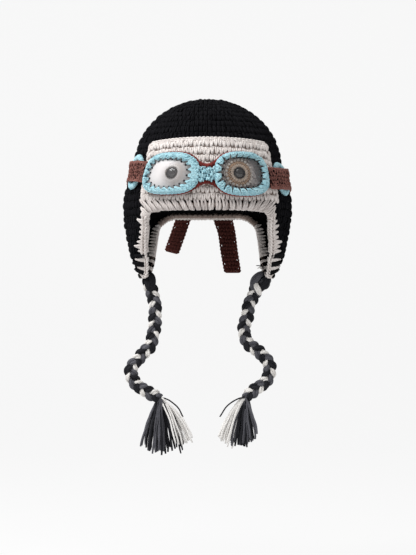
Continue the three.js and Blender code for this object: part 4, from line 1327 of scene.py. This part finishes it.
bead_rows = np.sin(np.linspace(0, math.pi / 2, 14))[:, None]
bead_dome = np.sqrt(1 - bead_rows**2)
for side_name, phi, drop, inner_yarn in EYES:
    disc = shell_between(lambda offset: near_eye(DISC_ROWS, turns(60), offset)[0], DISC_TOPS, 5.3, wrap=True)
    rings = [disc, eye_ring(30, 10.0, 12.9, 6.7, 1.25, turn=0.12),
             eye_ring(24, 6.6, 10.3, 6.9, 1.15, turn=0.2, paint=1)]
    make_piece(f"eye_disc_{side_name}_rings", rings, [TAN, inner_yarn], f"eye_disc_{side_name}")
    make_piece(f"eye_disc_{side_name}_bobbles", [eye_ring(22, 13.3, 15.6, 6.7, 1.75, sides=8)], [PALE])
    bead = shell_between(lambda offset: near_eye(BEAD_RADIUS * bead_rows, turns(48), offset)[0],
                         7.6 + 3.9 * bead_dome, 7.4 - 0.8 * bead_dome, wrap=True)
    make_piece(f"eye_bead_{side_name}_glass", [bead], [bead_glass], f"eye_bead_{side_name}")

# %% [markdown]
# ## Strap, rings and knot
# A brown crocheted strap leaves each frame, passes over a flat blue ring and meets its other half
# in a knot behind, from which two tails hang. The strap is five rows of open stitches over a thin
# shell of a darker brown, painted shade, so small dark gaps show as in the real mesh.

# %% Strap
STRAP_HALF = 11.9
STRAP_TILT = 0.18
STRAP_ROWS = 5
# Columns: angle round the head, drop of the strap's middle, and height above the skin.
STRAPS = (
    ("left", -1.0, np.array([[48, 92.5, 5.1], [57, 91, 5.1], [72.5, 90, 3.9], [79, 90, 0.6], [100, 91, 0.6],
                             [120, 92.5, 0.6], [150, 95.5, 0.6], [164, 97, 0.6]])),
    ("right", 1.0, np.array([[45.6, 99.8, 5.1], [57, 99.8, 5.1], [73.5, 99.5, 3.9], [80, 99.2, 0.6],
                             [120, 97.8, 0.6], [165.8, 97, 0.6]])))


def on_strap(phi, aside, offset):
    """A place on a strap: the angle round the head, millimetres down from its middle, an offset.

    The head widens downwards and the strap stands upright, so its upper edge lies a little off it."""
    low = np.interp(phi, table[:, 0], table[:, 2])
    tilt = STRAP_TILT * np.clip((phi - 66) / 10, 0, 1) * np.clip((135 - phi) / 25, 0, 1)
    return lay(sign * phi, smooth_column(table, 1, phi) + aside, low + offset - tilt * aside)


def along_strap(across, down, out):
    """A place by shares along the strap and over its width."""
    phi = np.clip(begin + across * (finish - begin), begin, finish)
    return on_strap(phi, (2 * down - 1) * (STRAP_HALF - 0.8), 2.1 + out)


def strap_edge(along, aside, out):
    """One long edge of the strap."""
    return on_strap(along, edge * (STRAP_HALF - 0.9) + aside, 2.0 + out)


for side_name, sign, table in STRAPS:
    begin, finish = table[0, 0] - 1.5, table[-1, 0]
    number = int(round((finish - begin) * 1.72 / 5.0))
    across = np.linspace(begin, finish, 80)
    aside = (STRAP_HALF - 1.4) * np.linspace(-1, 1, 9)[:, None]
    # The strap's shell is of the darker brown: painted shade in its gaps.
    strap_parts = [shell_between(lambda offset: on_strap(across, aside, offset)[0], 1.1, 0.1, paint=1)]
    strap_parts += knit(along_strap, number, STRAP_ROWS, shift=0.4, size=0.56, scatter=0.11, lift=0.40)
    for edge in (-1, 1):
        strap_parts += edge_chain(strap_edge, begin, finish, number, 0.8, 1.1, sides=5)
    make_piece(f"strap_{side_name}_stitches", strap_parts, [BROWN, BROWN_PAINTED_SHADE],
               f"strap_{side_name}")

# %% Rings under the strap
# Angle, drop, lean, half width and half height of each ring; each is an egg, broader at the top.
RINGS = {"left": (-63.8, 90.6, -15.0, 15.6, 20.2), "right": (64.6, 98.8, 16.0, 17.2, 18.6)}
RING_PROFILE = ((0.9, 1.8), (1.6, 3.0), (4.4, 3.2), (5.4, 1.9), (4.4, 0.5), (1.6, 0.5))
RING_INSET = np.array([6.2, 5.6, 4.0, 2.4, 1.1, 0.3, 0.4])
RING_RISE = np.array([1.4, 3.0, 3.9, 4.0, 3.4, 2.0, 0.8])
RING_STRANDS = 46


def ring_place(angle, inset, offset):
    """A place on a ring: an oval, turned by its lean, drawn in by an inset."""
    u = (half - inset) * drawn_out(np.cos(angle), 0.8) * (1 + 0.24 * np.sin(angle))
    w = (tall - inset) * np.sin(angle)
    return lay(phi + (u * math.cos(lean) + w * math.sin(lean)) / arc,
               drop - (w * math.cos(lean) - u * math.sin(lean)), offset)


for side_name, (phi, drop, lean, half, tall) in RINGS.items():
    arc = float(arc_of(phi, drop))
    lean = math.radians(lean)
    # The ring's core is of the darker blue: painted shade under its stitches.
    core = hoop([ring_place(turns(48), inset, offset)[0] for inset, offset in RING_PROFILE], paint=1)
    rise = RING_RISE + shake(0.12, RING_STRANDS)
    stitches = turned_strands(lambda at: ring_place(at, RING_INSET, rise),
                              turns(RING_STRANDS)[:, None] + 0.02 * np.arange(7), step=0.05, width=1.2)
    make_piece(f"strap_ring_{side_name}_stitches", [core, stitches], [BLUE, BLUE_PAINTED_SHADE],
               f"strap_ring_{side_name}")

# %% Knot behind
KNOT_PHI = 180.9
KNOT_DROP = 97.0
knot_arc = float(arc_of(KNOT_PHI, KNOT_DROP))


def on_knot(u, w, offset):
    """A place on the knot from millimetres to the viewer's right behind and up."""
    return lay(KNOT_PHI + u / knot_arc, KNOT_DROP - w, offset)


def knot_rise(u, w):
    """The knot's height: a pillow, with two folds pressed in beside the middle wrap."""
    pillow = np.clip(1 - np.abs(u / 23.5) ** 3.0, 0, 1) * np.clip(1 - np.abs(w / 15.0) ** 3.0, 0, 1)
    fold = 2.6 * np.exp(-((np.abs(u) - 8.5) / 2.4) ** 2)
    return 12.4 * pillow**0.5 - fold * pillow


def on_pillow(across, down, out):
    """A place over the pillow by shares across and down it."""
    u, w = -22.5 + 45 * across, 14.2 - 28.4 * down
    return on_knot(u, w, 0.9 + knot_rise(u, w) + out)


knot_u, knot_w = np.linspace(-23.2, 23.2, 41), np.linspace(14.8, -14.8, 27)[:, None]
# The knot's shell is of the darker brown: painted shade between its stitches.
knot_parts = [shell_between(lambda offset: on_knot(knot_u, knot_w, offset)[0],
                            0.5 + 0.95 * knot_rise(knot_u, knot_w), 0.3, paint=1)]
knot_parts += knit(on_pillow, 9, 6, sides=6)
make_piece("strap_knot_stitches", knot_parts, [BROWN, BROWN_PAINTED_SHADE], "strap_knot")

# %% [markdown]
# ## Tails of the strap
# The two tails hang straight down from the knot and show below the rim. A few small holes run down
# both long edges, one about every eleven millimetres, where the edge strand is joined to the solid
# middle by short steps and one step is left out.

# %% Tails
TAIL_Y = 102.3
TAIL_THICK = 3.6
TAIL_STITCH = 4.6
CORE_LENGTH = 0.985
HOLE_EVERY = 11.5
# Columns: drop, the middle's place across, and half the width; then the slant of the lower end.
TAILS = (
    ("left", np.array([[112.6, -12, 6.5], [124, -24, 9], [143, -31.9, 9.5], [162, -38.4, 9.5],
                       [183.5, -45.4, 8.8]]), 4.6),
    ("right", np.array([[112.6, 9, 7], [125, 15.5, 10.5], [143, 20, 12], [158, 24, 11], [180, 27, 10.8],
                        [206.6, 31.4, 10.6]]), 0.0))


def tail_half(share):
    """Half the tail's width at a share of its drop."""
    return np.interp(table[0, 0] + share * length, table[:, 0], table[:, 2])


def on_tail(share, aside, depth):
    """A place on a tail: a share of its drop, millimetres across from its middle, and a depth.

    The lower end slants, so its right corner hangs lower by the slant."""
    drop = table[0, 0] + share * length
    low = WALL - drop - 0.5 * slant * np.clip(share * 3 - 2, 0, 1) * (aside / 9 - 1)
    point = np.stack(np.broadcast_arrays(smooth_column(table, 1, drop) + aside,
                                         TAIL_Y + TAIL_THICK / 2 + depth, low), axis=-1)
    return point, np.broadcast_to(TOWARDS_VIEWER, point.shape)


def over_tail(across, down, out):
    """A place on the near or far face by shares across and down it."""
    return on_tail(down, (2 * across - 1) * (tail_half(down) - 2.6), face * (0.75 + 0.6 * out))


def cord_along(share, aside, radius):
    """One strand over the tail."""
    points, ups = on_tail(share, aside, 0.0)
    return strands(points[None], ups[None], radius)


for side_name, table, slant in TAILS:
    length = float(table[-1, 0] - table[0, 0])
    shares = np.linspace(0.0, CORE_LENGTH, 30)[:, None]
    inner_half = tail_half(shares) - 2.9
    flat_core = shell_between(lambda depth: on_tail(shares, inner_half * np.linspace(-1, 1, 9), depth)[0],
                              -0.5, 0.5)
    core = make_piece(f"strap_tail_{side_name}_core", [flat_core], [MAROON],
                      f"strap_tail_{side_name}")
    stitches = []
    for face in (-1, 1):
        stitches += knit(over_tail, 4, int(round(length / TAIL_STITCH)), size=0.85)
    for edge in (-1, 1):
        t = np.linspace(0.0, 1.0, 64)
        wave = 0.45 * np.sin(t * length * 2 * math.pi / TAIL_STITCH)
        stitches.append(cord_along(t, edge * (tail_half(t) - 1.1 + wave), 1.3))
        down_mm = np.arange(0.8, length, 1.15)
        from_hole = np.abs((down_mm + (3.0 if edge < 0 else 8.0)) % HOLE_EVERY - HOLE_EVERY / 2)
        at = down_mm[from_hole > 1.5][:, None] / length + 0.002 * np.arange(4)
        aside = edge * (tail_half(at) - np.array([0.8, 1.8, 3.0, 4.2]))
        stitches.append(strands(*on_tail(at, aside, 0.0), 1.0, sides=5))
    for end in (0.0, 1.0):
        width = float(tail_half(end)) - 1.2
        stitches.append(cord_along(np.full(12, end), np.linspace(-width, width, 12), 1.35))
    cover = make_piece(f"strap_tail_{side_name}_stitches", stitches, [MAROON])

# %% [markdown]
# ## Tassels
# Below its last crossing the plait opens into a fringe of loose ends. Each end is a strand on a
# bent line: it leaves the plait sideways and then falls. One thin dark thread, which ties the
# ends together, stands away on its own.

# %% Tassels
# Columns: paint, number, then left and right foot x, left and right foot z, radius.
FRINGES = {
    "left": [(1, 19, -80, -50, -406, -412, 1.2), (0, 21, -74, -40, -408, -412, 1.25),
             (0, 6, -36, -29, -408, -409, 1.05), (2, 16, -37, -18, -405, -399, 1.05),
             (0, 1, -28.5, -28.5, -375, -375, 0.85)],
    "right": [(2, 19, 11, 30, -394, -404, 1.1), (1, 19, 27, 60, -407, -396, 1.2),
              (0, 13, 28, 56, -407, -400, 1.2), (0, 1, 17.0, 17.0, -374, -374, 0.85)],
}
for side_name, groups in FRINGES.items():
    line = tie_lines[side_name]
    root = line[-1] - 1.2 * unit(line[-1] - line[-4])
    parts = []
    for paint, number, left_x, right_x, left_z, right_z, radius in groups:
        foot_share = (np.arange(number) + 0.5) / number
        foot = np.stack([left_x + (right_x - left_x) * foot_share,
                         -17 + 7.0 * draws.uniform(-1, 1, number),
                         left_z + (right_z - left_z) * foot_share], axis=1)
        foot[:, 0] += draws.normal(0, 1.1, number)
        # The bundle's middle hangs lowest, and the single thread leaves it almost level.
        bundle = 1.0 if number > 1 else 0.0
        foot[:, 2] += bundle * (draws.normal(0, 2.4, number) - 5 * np.sin(math.pi * foot_share))
        elbow = root + (foot - root) * np.array([0.50, 0.6, 0.06 + 0.20 * bundle])
        elbow[:, 0] += draws.normal(0, 0.9, number) * bundle
        knee = root + (foot - root) * np.array([0.76 + 0.08 * bundle, 1.0, 0.48 + 0.16 * bundle])
        knee[:, 0] += draws.normal(0, 0.9, number) * bundle
        t = np.linspace(0, 1, 17)[None, :, None]
        begin = root + draws.normal(0, 1.0, (number, 3)) * np.array([2.0, 1.4, 0.5])
        curve = sum(share * (1 - t) ** (3 - k) * t**k * point[:, None] for k, (share, point) in
                    enumerate(((1, begin), (3, elbow), (3, knee), (1, foot))))
        # A cut yarn keeps a little of the plait's wave.
        wave = np.sin(2 * math.pi * (draws.uniform(1.3, 2.2, (number, 1, 1)) * t
                                     + draws.uniform(0, 1, (number, 1, 1))))
        curve = curve + wave * t * (1 - 0.5 * t) * np.array([0.9, 0.8, 0.0])
        parts.append(strands(curve, TOWARDS_VIEWER, radius, ends=0.8, paint=paint))
    make_piece(f"tassel_{side_name}_fringe", parts, [COAL, GREY, LOOSE_WHITE],
               f"tassel_{side_name}")

# %% [markdown]
# ## Triangles
# The count of all the triangles made. The dressed hat has to stay in the solids' box, apart
# from what yarn may stand proud.

# %% Print the count of triangles
print("triangles in all", total_triangles)
